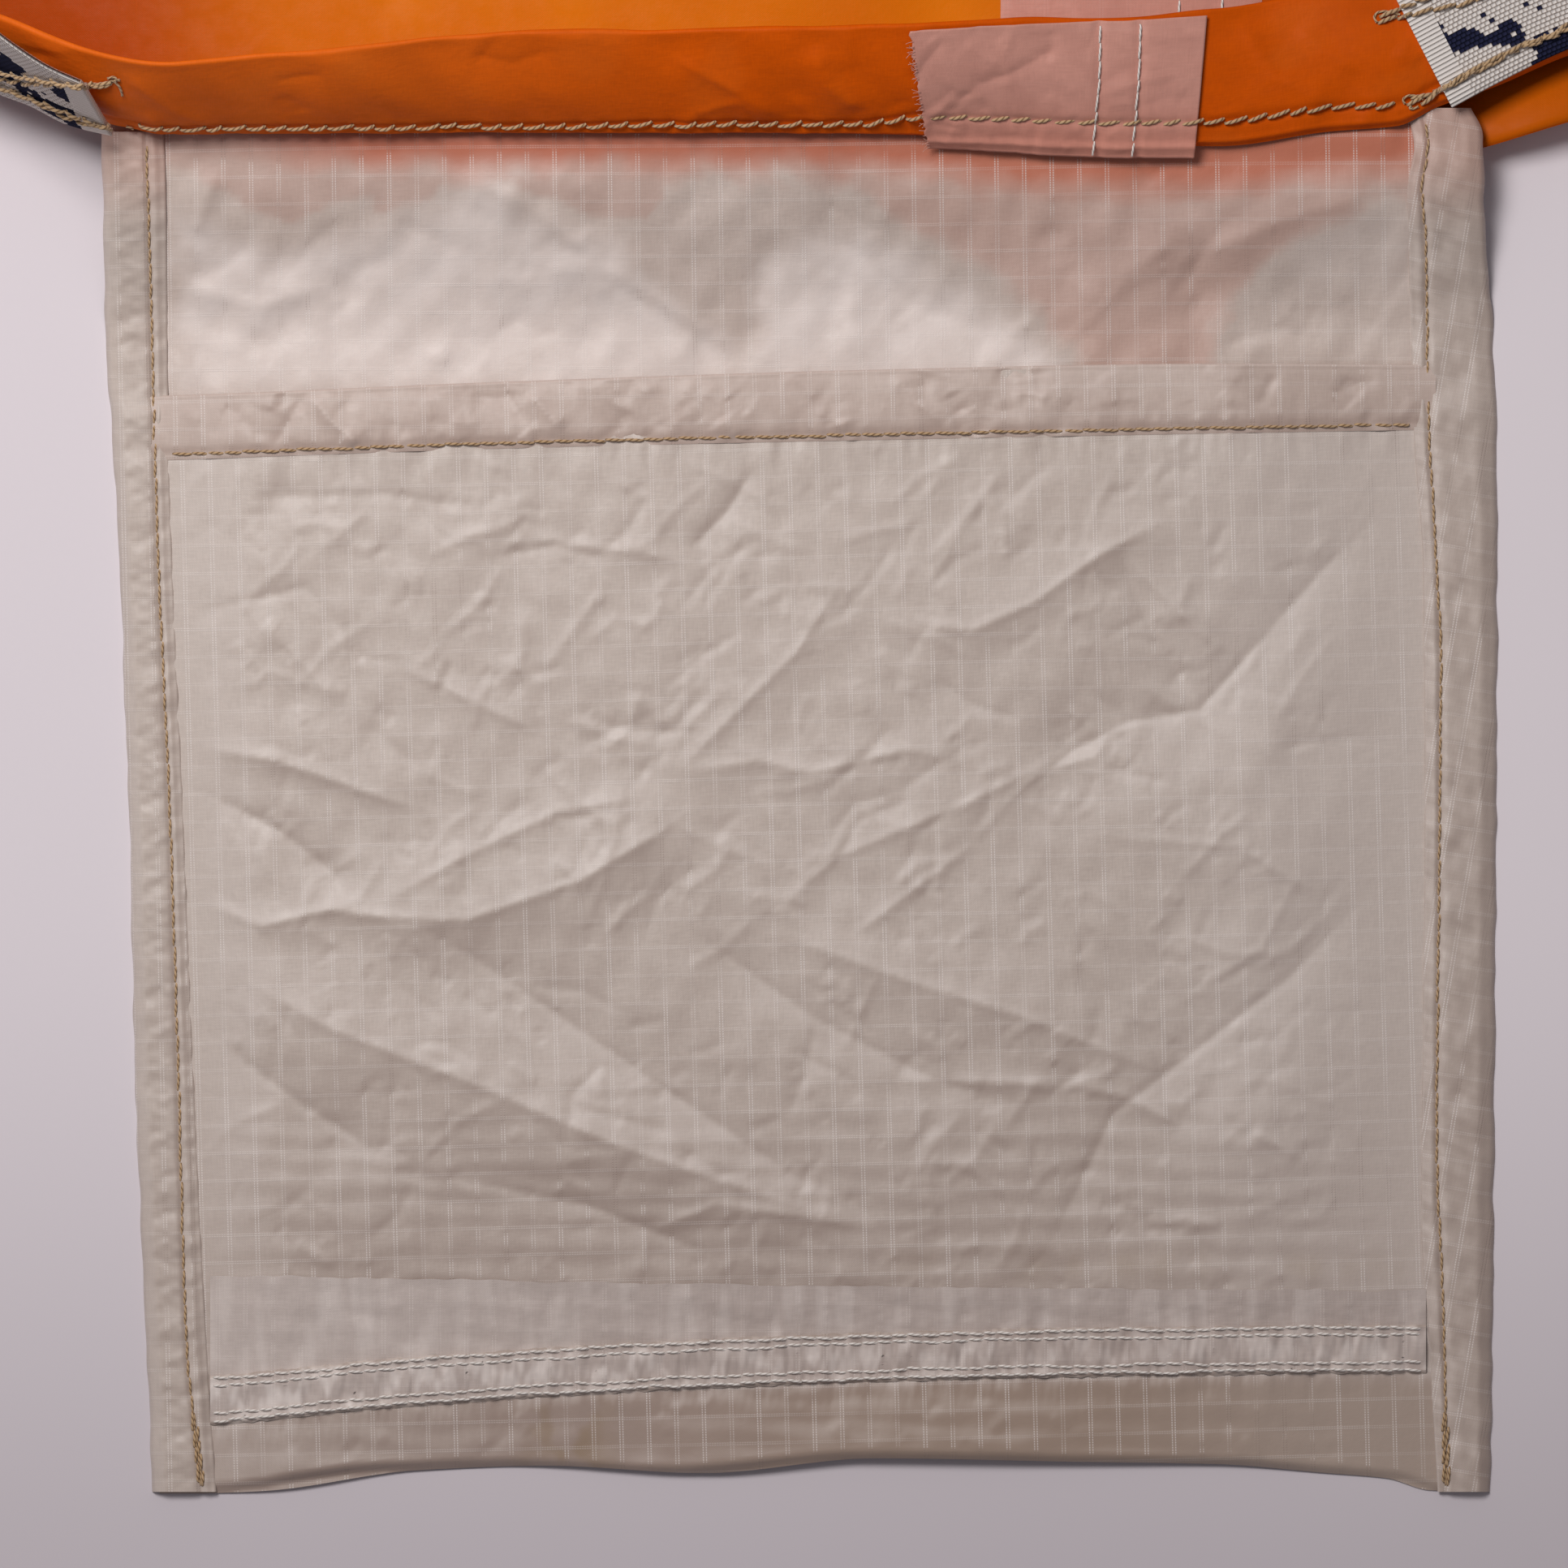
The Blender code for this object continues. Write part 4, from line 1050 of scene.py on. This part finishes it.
def make_patch():
    """The scrap of pink kite cloth sewn across the hem, with a frayed left edge."""
    low, high = 22.2 * MM, 74.5 * MM
    seams = (55.5, 62.5)

    def slanted(t):
        """The patch's left edge and its width up the hem at share t of its height."""
        return low + 3.2 * MM * (1 - t), -1.8 * MM + (HEM_WIDTH + 1.4 * MM) * t

    def place(s, t):
        left, width = slanted(t)
        left = left + 0.35 * MM * waves(t * 0.03, t * 0, 150, 2, 2)
        x = left + (high - 2.3 * MM * (1 - t) - left) * s
        turned_down = 0.9 * MM * ease(-width, -0.6, 1.8)
        dips = 0.3 * MM * sum(hill(x - at * MM, 1.0) for at in seams)
        folds = small_creases(x, width - 12 * MM, 26, (24, -12), (74, 12), 151, 0.3, 12)
        lift = TOP + 0.42 * MM + hem_folds(x, np.maximum(width, 0)) + folds * 0.7 - dips - turned_down
        return hem_point(x, width, lift)

    def uv(s, t):
        return 0.0525 * s + 0.0011, 0.0264 * t + 0.0018
    made = grid_object("hem_patch_cloth", 70, 150, place, uv, pink, patch_tone)
    thicken(made, 0.15 * MM)
    on_bag(made, "hem_patch")

    picks = np.random.default_rng(152)
    fibres = []
    steps = np.linspace(0, 1, 6)
    for _ in range(46):
        left, width = slanted(picks.uniform(0.02, 0.98))
        x = left + 0.4 * MM - picks.uniform(0.5, 1.6) * MM * steps
        width = width + picks.normal(0, 0.5) * MM * steps ** 2
        lift = TOP + 0.5 * MM + hem_folds(x, np.maximum(width, 0)) + picks.uniform(-0.1, 0.3) * MM * steps
        fibres.append(np.stack(hem_point(x, width, lift), -1))
    shell, quads, uvs = tube_mesh(fibres, [0.045 * MM] * len(fibres), 5)
    on_bag(mesh_object("hem_patch_fray", shell, quads, fray_thread, uvs))

    width = np.linspace(-1.3 * MM, HEM_WIDTH - 1.2 * MM, 120)
    for number, at in enumerate(seams, start=1):
        x = at * MM + 0.9 * MM * np.sin((width / HEM_WIDTH - 0.2) * 2.2) - 0.7 * MM
        line, out = hem_line(x, width, TOP + 0.35 * MM)
        row = stitches(f"hem_patch_stitches_{number}", line, out, white_thread, 3.1, 0.2, 0.08, 153 + number)
        on_bag(row, f"hem_patch_thread_{number}")


def patch_tone(x, y):
    # Random darker patches, paler between them, and painted orange glow toward the crease.
    dark = 0.10 + 0.12 * smooth(waves(x, y, 155, 14), -0.2, 0.9)
    return shades(dark, 0.08 * (1 - dark), 0.2 * (1 - ease(y, -76, -66)))


fray_thread = thread_look("pink fibre", srgb(226, 176, 160), srgb(170, 110, 96))


def panel_folds(x, y):
    """Soft folds of the front panel, sharper near the mouth."""
    from_side, from_end = BAG_HALF - np.abs(x), BAG_END - y
    folds = 1.1 * MM * waves(x, y, 161, 120, 2) + 0.35 * MM * waves(x, y, 162, 40, 2)
    folds += small_creases(x, y, 110, (-185, -40), (185, 300), 163, 0.7, 45)
    gathers = waves(x * 0.3, y, 164, 12, 2) * hill(from_side, 12)
    gathers += waves(x, y * 0.3, 165, 12, 2) * hill(from_end, 12)
    folds = folds * ease(from_side, 2, 26) * ease(from_end, 2, 26) + 0.35 * MM * gathers
    return folds * ease(y - crease_y(x), 0, 12)


def back_lift(x, y):
    """The back panel's rim stands off the table where the mouth gapes, left and right of the pocket."""
    gape = hill(np.abs(x) - 138 * MM, 28) * (x > 0)
    return 8.6 * MM * gape * (1 - ease(y - back_rim_y(x), 2, 22))


def back_rim_tone(x, y):
    paint = panel_tone(x, y)
    # Painted orange glow on the rim's right end, lightening it where the webbing shades it.
    paint["bleed"] = np.maximum(paint["bleed"], 0.2 * ease(x, 110, 125))
    return paint


def make_panels():
    def spread(s, t, rim):
        """Across the bag and from a rim line down to the panel's far edge; also the distance from the rim."""
        x = PANEL_HALF * (2 * s - 1) * MM
        low = rim(x)
        y = low + (PANEL_END * MM - low) * t
        return x, y, y - low

    def front(s, t):
        x, y, inward = spread(s, t, lambda x: crease_y(x) + 0.9 * MM)
        lip = 0.95 * MM * (1 - ease(inward, 0, 3))
        return x, y, np.maximum(panel_top(x, y) + panel_folds(x, y) + lip, 2.0 * MM)
    made = grid_object("front_panel_cloth", 260, 270, front, place_uv(front), orange, panel_tone)
    on_bag(made, "front_panel")

    def back(s, t):
        x, y, inward = spread(s, t, back_rim_y)
        return x, y, 0.25 * MM + 0.5 * MM * (1 - ease(inward, 0, 2)) + back_lift(x, y)
    made = grid_object("back_panel_cloth", 120, 130, back, place_uv(back), orange, panel_tone)
    thicken(made, 0.2 * MM)
    on_bag(made, "back_panel")

    def back_hem(s, t):
        x = (-197 + 394 * s) * MM
        y = back_rim_y(x) + HEM_WIDTH * t - 0.4 * MM * np.sin(math.pi * np.clip(t / 0.06, 0, 1))
        z = 1.2 * MM + 0.18 * MM * waves(x, y, 171, 22) - 0.8 * MM * (1 - smooth(t, 0, 0.05))
        return x, y, z + back_lift(x, y)
    made = grid_object("back_hem_band", 40, 260, back_hem, place_uv(back_hem), orange, back_rim_tone)
    thicken(made, 0.15 * MM)
    on_bag(made, "back_hem")
    x = np.linspace(-192 * MM, 192 * MM, 600)
    line = np.stack([x, back_rim_y(x) + HEM_WIDTH - 2.4 * MM, np.full(x.shape, 1.45 * MM)], -1)
    row = stitches("back_hem_stitches", line, UP, tan_thread, 3.75, 0.33, 0.3, 172, points=7, sides=6)
    on_bag(row, "back_hem_thread")


def panel_tone(x, y):
    # Painted glow near the mouth, where single orange cloth lies lit over the white table, and painted shade
    # over the panels, heavier on the far left.
    glow = 0.6 * ease(x, -122, -76) * (1 - ease(y, -38, 25)) * (1 - 0.85 * ease(x, 76, 84))
    dark = 0.6 + 0.2 * ease(-x, 80, 140) + 0.15 * smooth(waves(x, y, 173, 110, 2), 0, 0.9)
    return shades(dark, 0.0, glow * (0.8 + 0.2 * waves(x, y, 174, 60)))


def make_stripe():
    """The pink stripe pieced into the front panel, with its two seam rows."""
    def place(s, t):
        y = (-71 + (304.5 + 71) * t) * MM
        x = (38 + 2.5 * t + 46 * s) * MM
        z = panel_top(x, y) + panel_folds(x, y) + 0.4 * MM
        return x, y, z - 0.3 * MM * (1 - smooth(np.minimum(s, 1 - s), 0, 0.02))
    made = grid_object("panel_stripe_cloth", 260, 40, place, place_uv(place), pink, stripe_tone)
    on_bag(made, "panel_stripe")
    y = np.linspace(-56 * MM, 303 * MM, 900)
    for number, at in enumerate((69.5, 77.0), start=1):
        x = (at + 2.5 * (y / MM + 71) / 379) * MM
        line = np.stack([x, y, panel_top(x, y) + panel_folds(x, y) + 0.5 * MM], -1)
        row = stitches(f"panel_stripe_stitches_{number}", line, UP, white_thread, 3.1, 0.22, 0.08,
                       180 + number, points=6, sides=6)
        on_bag(row, f"panel_stripe_thread_{number}")


def stripe_tone(x, y):
    # Random darker patches, slightly paler all over, and a little painted orange glow all over.
    return shades(0.08 + 0.12 * smooth(waves(x, y, 156, 30), -0.2, 0.9), 0.05, 0.1)


def make_seams():
    """Side and bottom seams: rolled edges that close the two panels, each with a stitch row."""
    def edge_strip(part, start, end, inward, seed):
        node, side = ("bottom_seam", "") if part == "bottom" else ("side_seam", "_" + part)
        start, end, inward = (np.array(v, float) for v in (start, end, inward))
        length = np.linalg.norm(end - start)

        def place(s, t):
            run = t * length
            d = s * 9.0 * MM
            roll = rolled(d, 1.4 * MM)
            wave = 0.35 * MM * waves(run, run * 0, seed, 18)
            p = start + (end - start) * t[..., None] + inward * (d + wave * (1 - s))[..., None]
            x, y = p[..., 0], p[..., 1]
            ripple = 0.25 * MM * waves(run, d, seed + 1, 9)
            z = 0.3 * MM + (3.2 * MM + ripple) * roll - 0.5 * MM * hill(d - 4.5 * MM, 0.8)
            z = z - 0.6 * MM * smooth(s, 0.82, 1.0) + seam_seat(x, y) * smooth(s, 0.15, 1)
            return x, y, np.maximum(z, 0.25 * MM)
        rows = int(length / (1.6 * MM))
        made = grid_object(f"{node}_edge{side}", rows, 22, place, place_uv(place), orange, panel_tone)
        on_bag(made, node + side)
        t = np.linspace(0.004, 0.996, 700)
        x, y, z = place(np.full(t.shape, 0.5), t)
        line = np.stack([x, y, z + 0.1 * MM], -1)
        row = stitches(f"{node}_stitches{side}", line, UP, tan_thread, 3.5, 0.3, 0.15, seed + 2,
                       points=6, sides=6)
        on_bag(row, f"{node}_thread{side}")

    rim = -46.5 * MM
    edge_strip("left", (-BAG_HALF, rim), (-BAG_HALF, BAG_END), (1, 0), 185)
    edge_strip("right", (BAG_HALF, rim), (BAG_HALF, BAG_END), (-1, 0), 195)
    edge_strip("bottom", (-BAG_HALF, BAG_END), (BAG_HALF, BAG_END), (0, -1), 205)


def seam_seat(x, y):
    """How far the front panel stands above the seam strip's own height."""
    return np.clip(panel_top(x, y) - 2.9 * MM, 0, 6 * MM)


# ---------------------------------------------------------------- webbing
def hem_height(x, y):
    """Height of the hem's upper face over a point of the table plane."""
    y0, z0 = hem_root(x)
    return z0 + TOP / np.cos(hem_tilt(x)) + np.tan(hem_tilt(x)) * np.maximum(y - y0, 0)


# Edges of the sewn webbing as seen on the table plane, from its raw end to where it leaves the hem.
RIGHT_LOW = [(117.6, -69), (126.5, -64.4), (138, -58.6), (152, -53.6), (168, -50), (184, -48), (200.3, -47.5)]
RIGHT_UP = [(106.3, -47), (115.3, -42), (127.5, -36.6), (145, -31), (164, -27.5), (182, -26.5),
            (200.3, -27.6)]
LEFT_LOW = [(-118.2, -73.8), (-125.7, -72), (-132.7, -68.5), (-138, -66.6), (-152, -60), (-172, -52),
            (-200.3, -47)]
LEFT_UP = [(-123.9, -64.2), (-129.5, -61.7), (-135.3, -58), (-140.5, -54.2), (-155, -46.5), (-174, -36.5),
           (-200.3, -27.6)]


def sewn_webbing(low, up, steep):
    """Middle line and across directions of a sewn webbing end."""
    t = np.linspace(0, MM, SEWN_STEPS)
    at = np.linspace(0, 1, len(low))
    (lx, ly), (ux, uy) = ([through(t, at, column) for column in zip(*points)] for points in (low, up))
    seat = (0.35 if steep else 0.9) * MM + 0.5 * WEB_THICK
    lz = hem_height(lx, np.maximum(ly, crease_y(lx))) + seat
    planar = np.hypot(ux - lx, uy - ly)
    stood = lz + np.sqrt(np.maximum(WEB_WIDTH ** 2 - planar ** 2, 0))
    laid = hem_height(ux, uy) + seat
    uz = np.maximum(stood, laid + 0.3 * MM) if steep else laid
    low_line, up_line = np.stack([lx, ly, lz], -1), np.stack([ux, uy, uz], -1)
    return (low_line + up_line) / 2, unit(up_line - low_line)


def strap_route():
    """The webbing from its sewn right end round the free loop to its sewn left end.

    Returns the middle line, the way across the webbing and its outward face, as arrays.
    """
    right, right_across = sewn_webbing(RIGHT_LOW, RIGHT_UP, False)
    left, left_across = sewn_webbing(LEFT_LOW, LEFT_UP, True)

    root = right[-1]
    bend, reach, share = 22 * MM, 300 * MM, 0.08
    t = np.linspace(0, 1, 900)[1:-1]
    from_end = np.minimum(t, 1 - t)
    u = from_end * 2
    turn = 0.5 * math.pi * np.clip(u / share, 0, 1)
    arch = 0.5 * math.pi * np.clip((u - share) / (1 - share), 0, 1)
    half = root[0] + bend
    x = np.where(u < share, root[0] + bend * np.sin(turn), half * np.cos(arch))
    y = root[1] + np.where(u < share, bend * (1 - np.cos(turn)), bend + reach * np.sin(arch))
    ground = panel_top(np.minimum(x, 190 * MM), y) * (1 - smooth(x, 205 * MM, half))
    laid = ground + 2.4 * MM + 0.5 * WEB_WIDTH
    z = root[2] + (laid - root[2]) * smooth(u, 0, 0.12)
    free = np.stack([np.where(t <= 0.5, 1.0, -1.0) * x, y, z], -1)
    middle = np.concatenate([right, free, left[::-1]])

    on_edge = smooth(from_end, 0, 0.09)[:, None]
    flat = np.where(t[:, None] <= 0.5, right_across[-1], left_across[-1])
    free_across = flat * (1 - on_edge) + np.array([0, 0, 1.0]) * on_edge
    across = np.concatenate([right_across, free_across, left_across[::-1]])
    relax(middle, 14)
    relax(across, 14)
    tangent = unit(np.gradient(middle, axis=0))
    square = unit(across - tangent * np.sum(across * tangent, axis=1)[:, None])
    order = np.arange(len(middle))
    free_share = smooth(np.minimum(order, len(order) - 1 - order), 40, 130)[:, None]
    across = unit(across * (1 - free_share) + square * free_share)
    return middle, across, unit(np.cross(tangent, across))


def make_strap():
    middle, across, normal = strap_route()
    run = run_along(middle)
    columns = WEB_RIBS * 3
    w = np.linspace(-0.5, 0.5, columns + 1)
    rib = 0.13 * MM * np.abs(np.cos(math.pi * (w + 0.5) * WEB_RIBS + math.pi / 2))
    edge = np.sqrt(np.clip(1 - (2 * np.abs(w)) ** 10, 0, 1))
    half_thick = (WEB_THICK / 2 - 0.13 * MM + rib) * edge
    ring_w = np.concatenate([w, w[::-1]]) * WEB_WIDTH
    ring_h = np.concatenate([half_thick, -half_thick[::-1]])
    ring, last = len(ring_w), (len(middle) - 1) * len(ring_w)
    points = middle[:, None] + across[:, None] * ring_w[:, None] + normal[:, None] * ring_h[:, None]
    c = np.arange(columns)
    cap = np.stack([c, c + 1, ring - 2 - c, ring - 1 - c], -1)
    quads = np.concatenate([grid_quads(len(middle), ring, ring=True), cap[:, ::-1], cap + last])
    made = mesh_object("shoulder_strap_webbing", points.reshape(-1, 3), quads, web,
                       pairs(run[:, None], ring_w + WEB_WIDTH / 2), {"length": np.full(last + ring, run[-1])})
    root_y = middle[SEWN_STEPS, 1]
    root_y + 6 * MM
    root_y + 60 * MM
    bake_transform(made)
    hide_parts("shoulder_strap", "webbing_end_left", "webbing_end_right")
    return made


def seen_line(trees, corners, rounds=30):
    """A smoothed line through corners (mm on the table plane), carried along the camera's sight onto
    the pieces of trees; gives its points and the way out of the piece at each."""
    p = np.array(corners, float) * MM
    run = run_along(p)
    at = np.linspace(0, run[-1], max(int(run[-1] / (0.4 * MM)), 8))
    flat = np.stack([np.interp(at, run, p[:, 0]), np.interp(at, run, p[:, 1])], -1)
    relax(flat, rounds)
    eye = Vector((0, CAMERA_Y, CAMERA_HEIGHT))
    points, ways = [], []
    for x, y in flat:
        sight = (Vector((x, y, 0)) - eye).normalized()
        hits = [hit for hit in (tree.ray_cast(eye, sight) for tree in trees) if hit[0] is not None]
        if hits:
            place, normal, _, _ = min(hits, key=lambda hit: hit[3])
            points.append(place)
            ways.append(normal if normal.z > 0 else -normal)
    ways = np.array(ways)
    relax(ways, 6)
    return np.array(points), unit(ways)


# Stitch lines over the webbing ends as seen on the table plane, with the CAD row each one stands for.
WEBBING_SEAMS = {
    "webbing_thread_right_lower": [
        [(109.4, -68.4), (113, -67.2), (116, -65.3), (126.6, -59.9), (138, -54.3), (152, -49.5), (168, -46.3),
         (199, -44)],
        [(110.4, -67.6), (115.5, -66), (121, -62.4), (132, -57.6), (144, -52.8), (166, -47.4), (199, -44.6)],
        [(112, -68.2), (119, -63.4), (130, -57.8), (141, -53.4), (160, -47.8), (198, -43.6)]],
    "webbing_thread_right_upper": [
        [(104.3, -54), (109.1, -52.9), (113.7, -51.7), (120.6, -50.6), (130, -45.5), (143, -39), (160, -33),
         (198, -30.6)],
        [(105, -53.4), (107.9, -51.6), (111.5, -50.1), (121, -46.5), (132, -41.6), (148, -36), (197, -31.2)]],
    "webbing_thread_left_lower": [
        [(-114.3, -73.2), (-115.7, -72), (-119, -72.3), (-125.7, -70.7), (-132.7, -67), (-138, -65.2),
         (-152, -58.3), (-172, -50.4), (-198, -45)],
        [(-115.2, -73.6), (-118, -73), (-122, -71.2), (-129, -68.4), (-137, -65.4), (-150, -59.6),
         (-170, -51.4), (-198, -45.6)]],
    "webbing_thread_left_upper": [
        [(-118, -64.6), (-118.4, -63.8), (-122.6, -64.9), (-131, -64.6), (-138, -64), (-152, -52),
         (-172, -41), (-198, -30.6)],
        [(-118.5, -64.3), (-123, -65.3), (-130.5, -63.8), (-138, -62.6), (-150, -53.6), (-170, -42),
         (-198, -31.2)]],
}
LOOSE_ENDS = [
    [(104.3, -54), (103.6, -53.2), (104.2, -52.2), (106, -52), (108.4, -52.6)],
    [(109.2, -68.2), (108.6, -67.6), (109.3, -66.7), (110.8, -66.6), (112.4, -67.5)],
    [(110.4, -68.6), (109.7, -69.1), (110.3, -69.3), (111.6, -68.7)],
    [(-118.4, -63.8), (-117.3, -64.4), (-116.6, -65.5), (-116.4, -66.6)],
    [(-118.9, -64.2), (-117.6, -63.8), (-116.8, -63.9)],
    [(-119, -63.6), (-118, -63.2), (-117.2, -63.4), (-117.6, -64.4)],
    [(-115.7, -72), (-114.6, -72.2), (-113.9, -73), (-113.6, -74.4)],
]


def make_webbing_seams(*pieces):
    trees = [BVHTree.FromPolygons([v.co for v in p.data.vertices], [f.vertices for f in p.data.polygons])
             for p in pieces]
    for node, lines in WEBBING_SEAMS.items():
        for number, (corners, slant) in enumerate(zip(lines, (-0.25, 0.3, -0.1)), start=1):
            points, ways = seen_line(trees, corners)
            points = points + ways * (0.22 + 0.12 * number) * MM
            row = stitches(f"{node}_{number}".replace("thread", "stitches"), points, ways, tan_thread, 3.7,
                           0.36, slant, 220 + number, points=12, placed=True)
            on_bag(row, *([node] if number == 1 else []))
    for number, corners in enumerate(LOOSE_ENDS, start=1):
        points, ways = seen_line(trees, corners, 3)
        shell, quads, uv = tube_mesh([points + ways * 0.3 * MM], [0.2 * MM], 8)
        on_bag(mesh_object(f"webbing_loose_end_{number}", shell, quads, tan_thread, uv, placed=True))


# ---------------------------------------------------------------- stage
def make_stage():
    size = 3.0
    mesh = bpy.data.meshes.new("table")
    corners = [(-size, -size), (size, -size), (size, size), (-size, size)]
    mesh.from_pydata([(x, y, -0.05 * MM) for x, y in corners], [], [(0, 1, 2, 3)])
    mesh.materials.append(floor_look())
    add("table", mesh)

    window = bpy.data.lights.new("window", "AREA")
    window.energy, window.size, window.color = 4.25, 0.26, (1.0, 0.985, 0.975)
    lamp = add("window", window)
    lamp.location = (-0.21, 0.12, 0.68)
    lamp.rotation_euler = (Vector((0, -0.18, 0)) - lamp.location).to_track_quat("-Z", "Y").to_euler()

    world = bpy.data.worlds.new("soft light")
    world.use_nodes = True
    background = world.node_tree.nodes["Background"]
    background.inputs["Color"].default_value = (0.98, 0.95, 1.0, 1)
    background.inputs["Strength"].default_value = 0.2
    bpy.context.scene.world = world
    bpy.context.scene.view_settings.view_transform = "Standard"


def make_camera():
    data = bpy.data.cameras.new("camera")
    data.sensor_width = 36
    data.lens = data.sensor_width * CAMERA_HEIGHT / PHOTO_WIDTH
    camera = add("camera", data)
    camera.location = (0, CAMERA_Y, CAMERA_HEIGHT)
    bpy.context.scene.camera = camera


make_camera()
make_stage()
make_panels()
make_stripe()
make_seams()
hem_cloth = make_hem()
make_hem_stitches()
make_patch()
make_webbing_seams(make_strap(), hem_cloth)
make_pocket_back()
make_pouch()
make_mouth_hem()
make_side_hem(-1, "left")
make_side_hem(1, "right")
make_mouth_stitches()
make_seam()
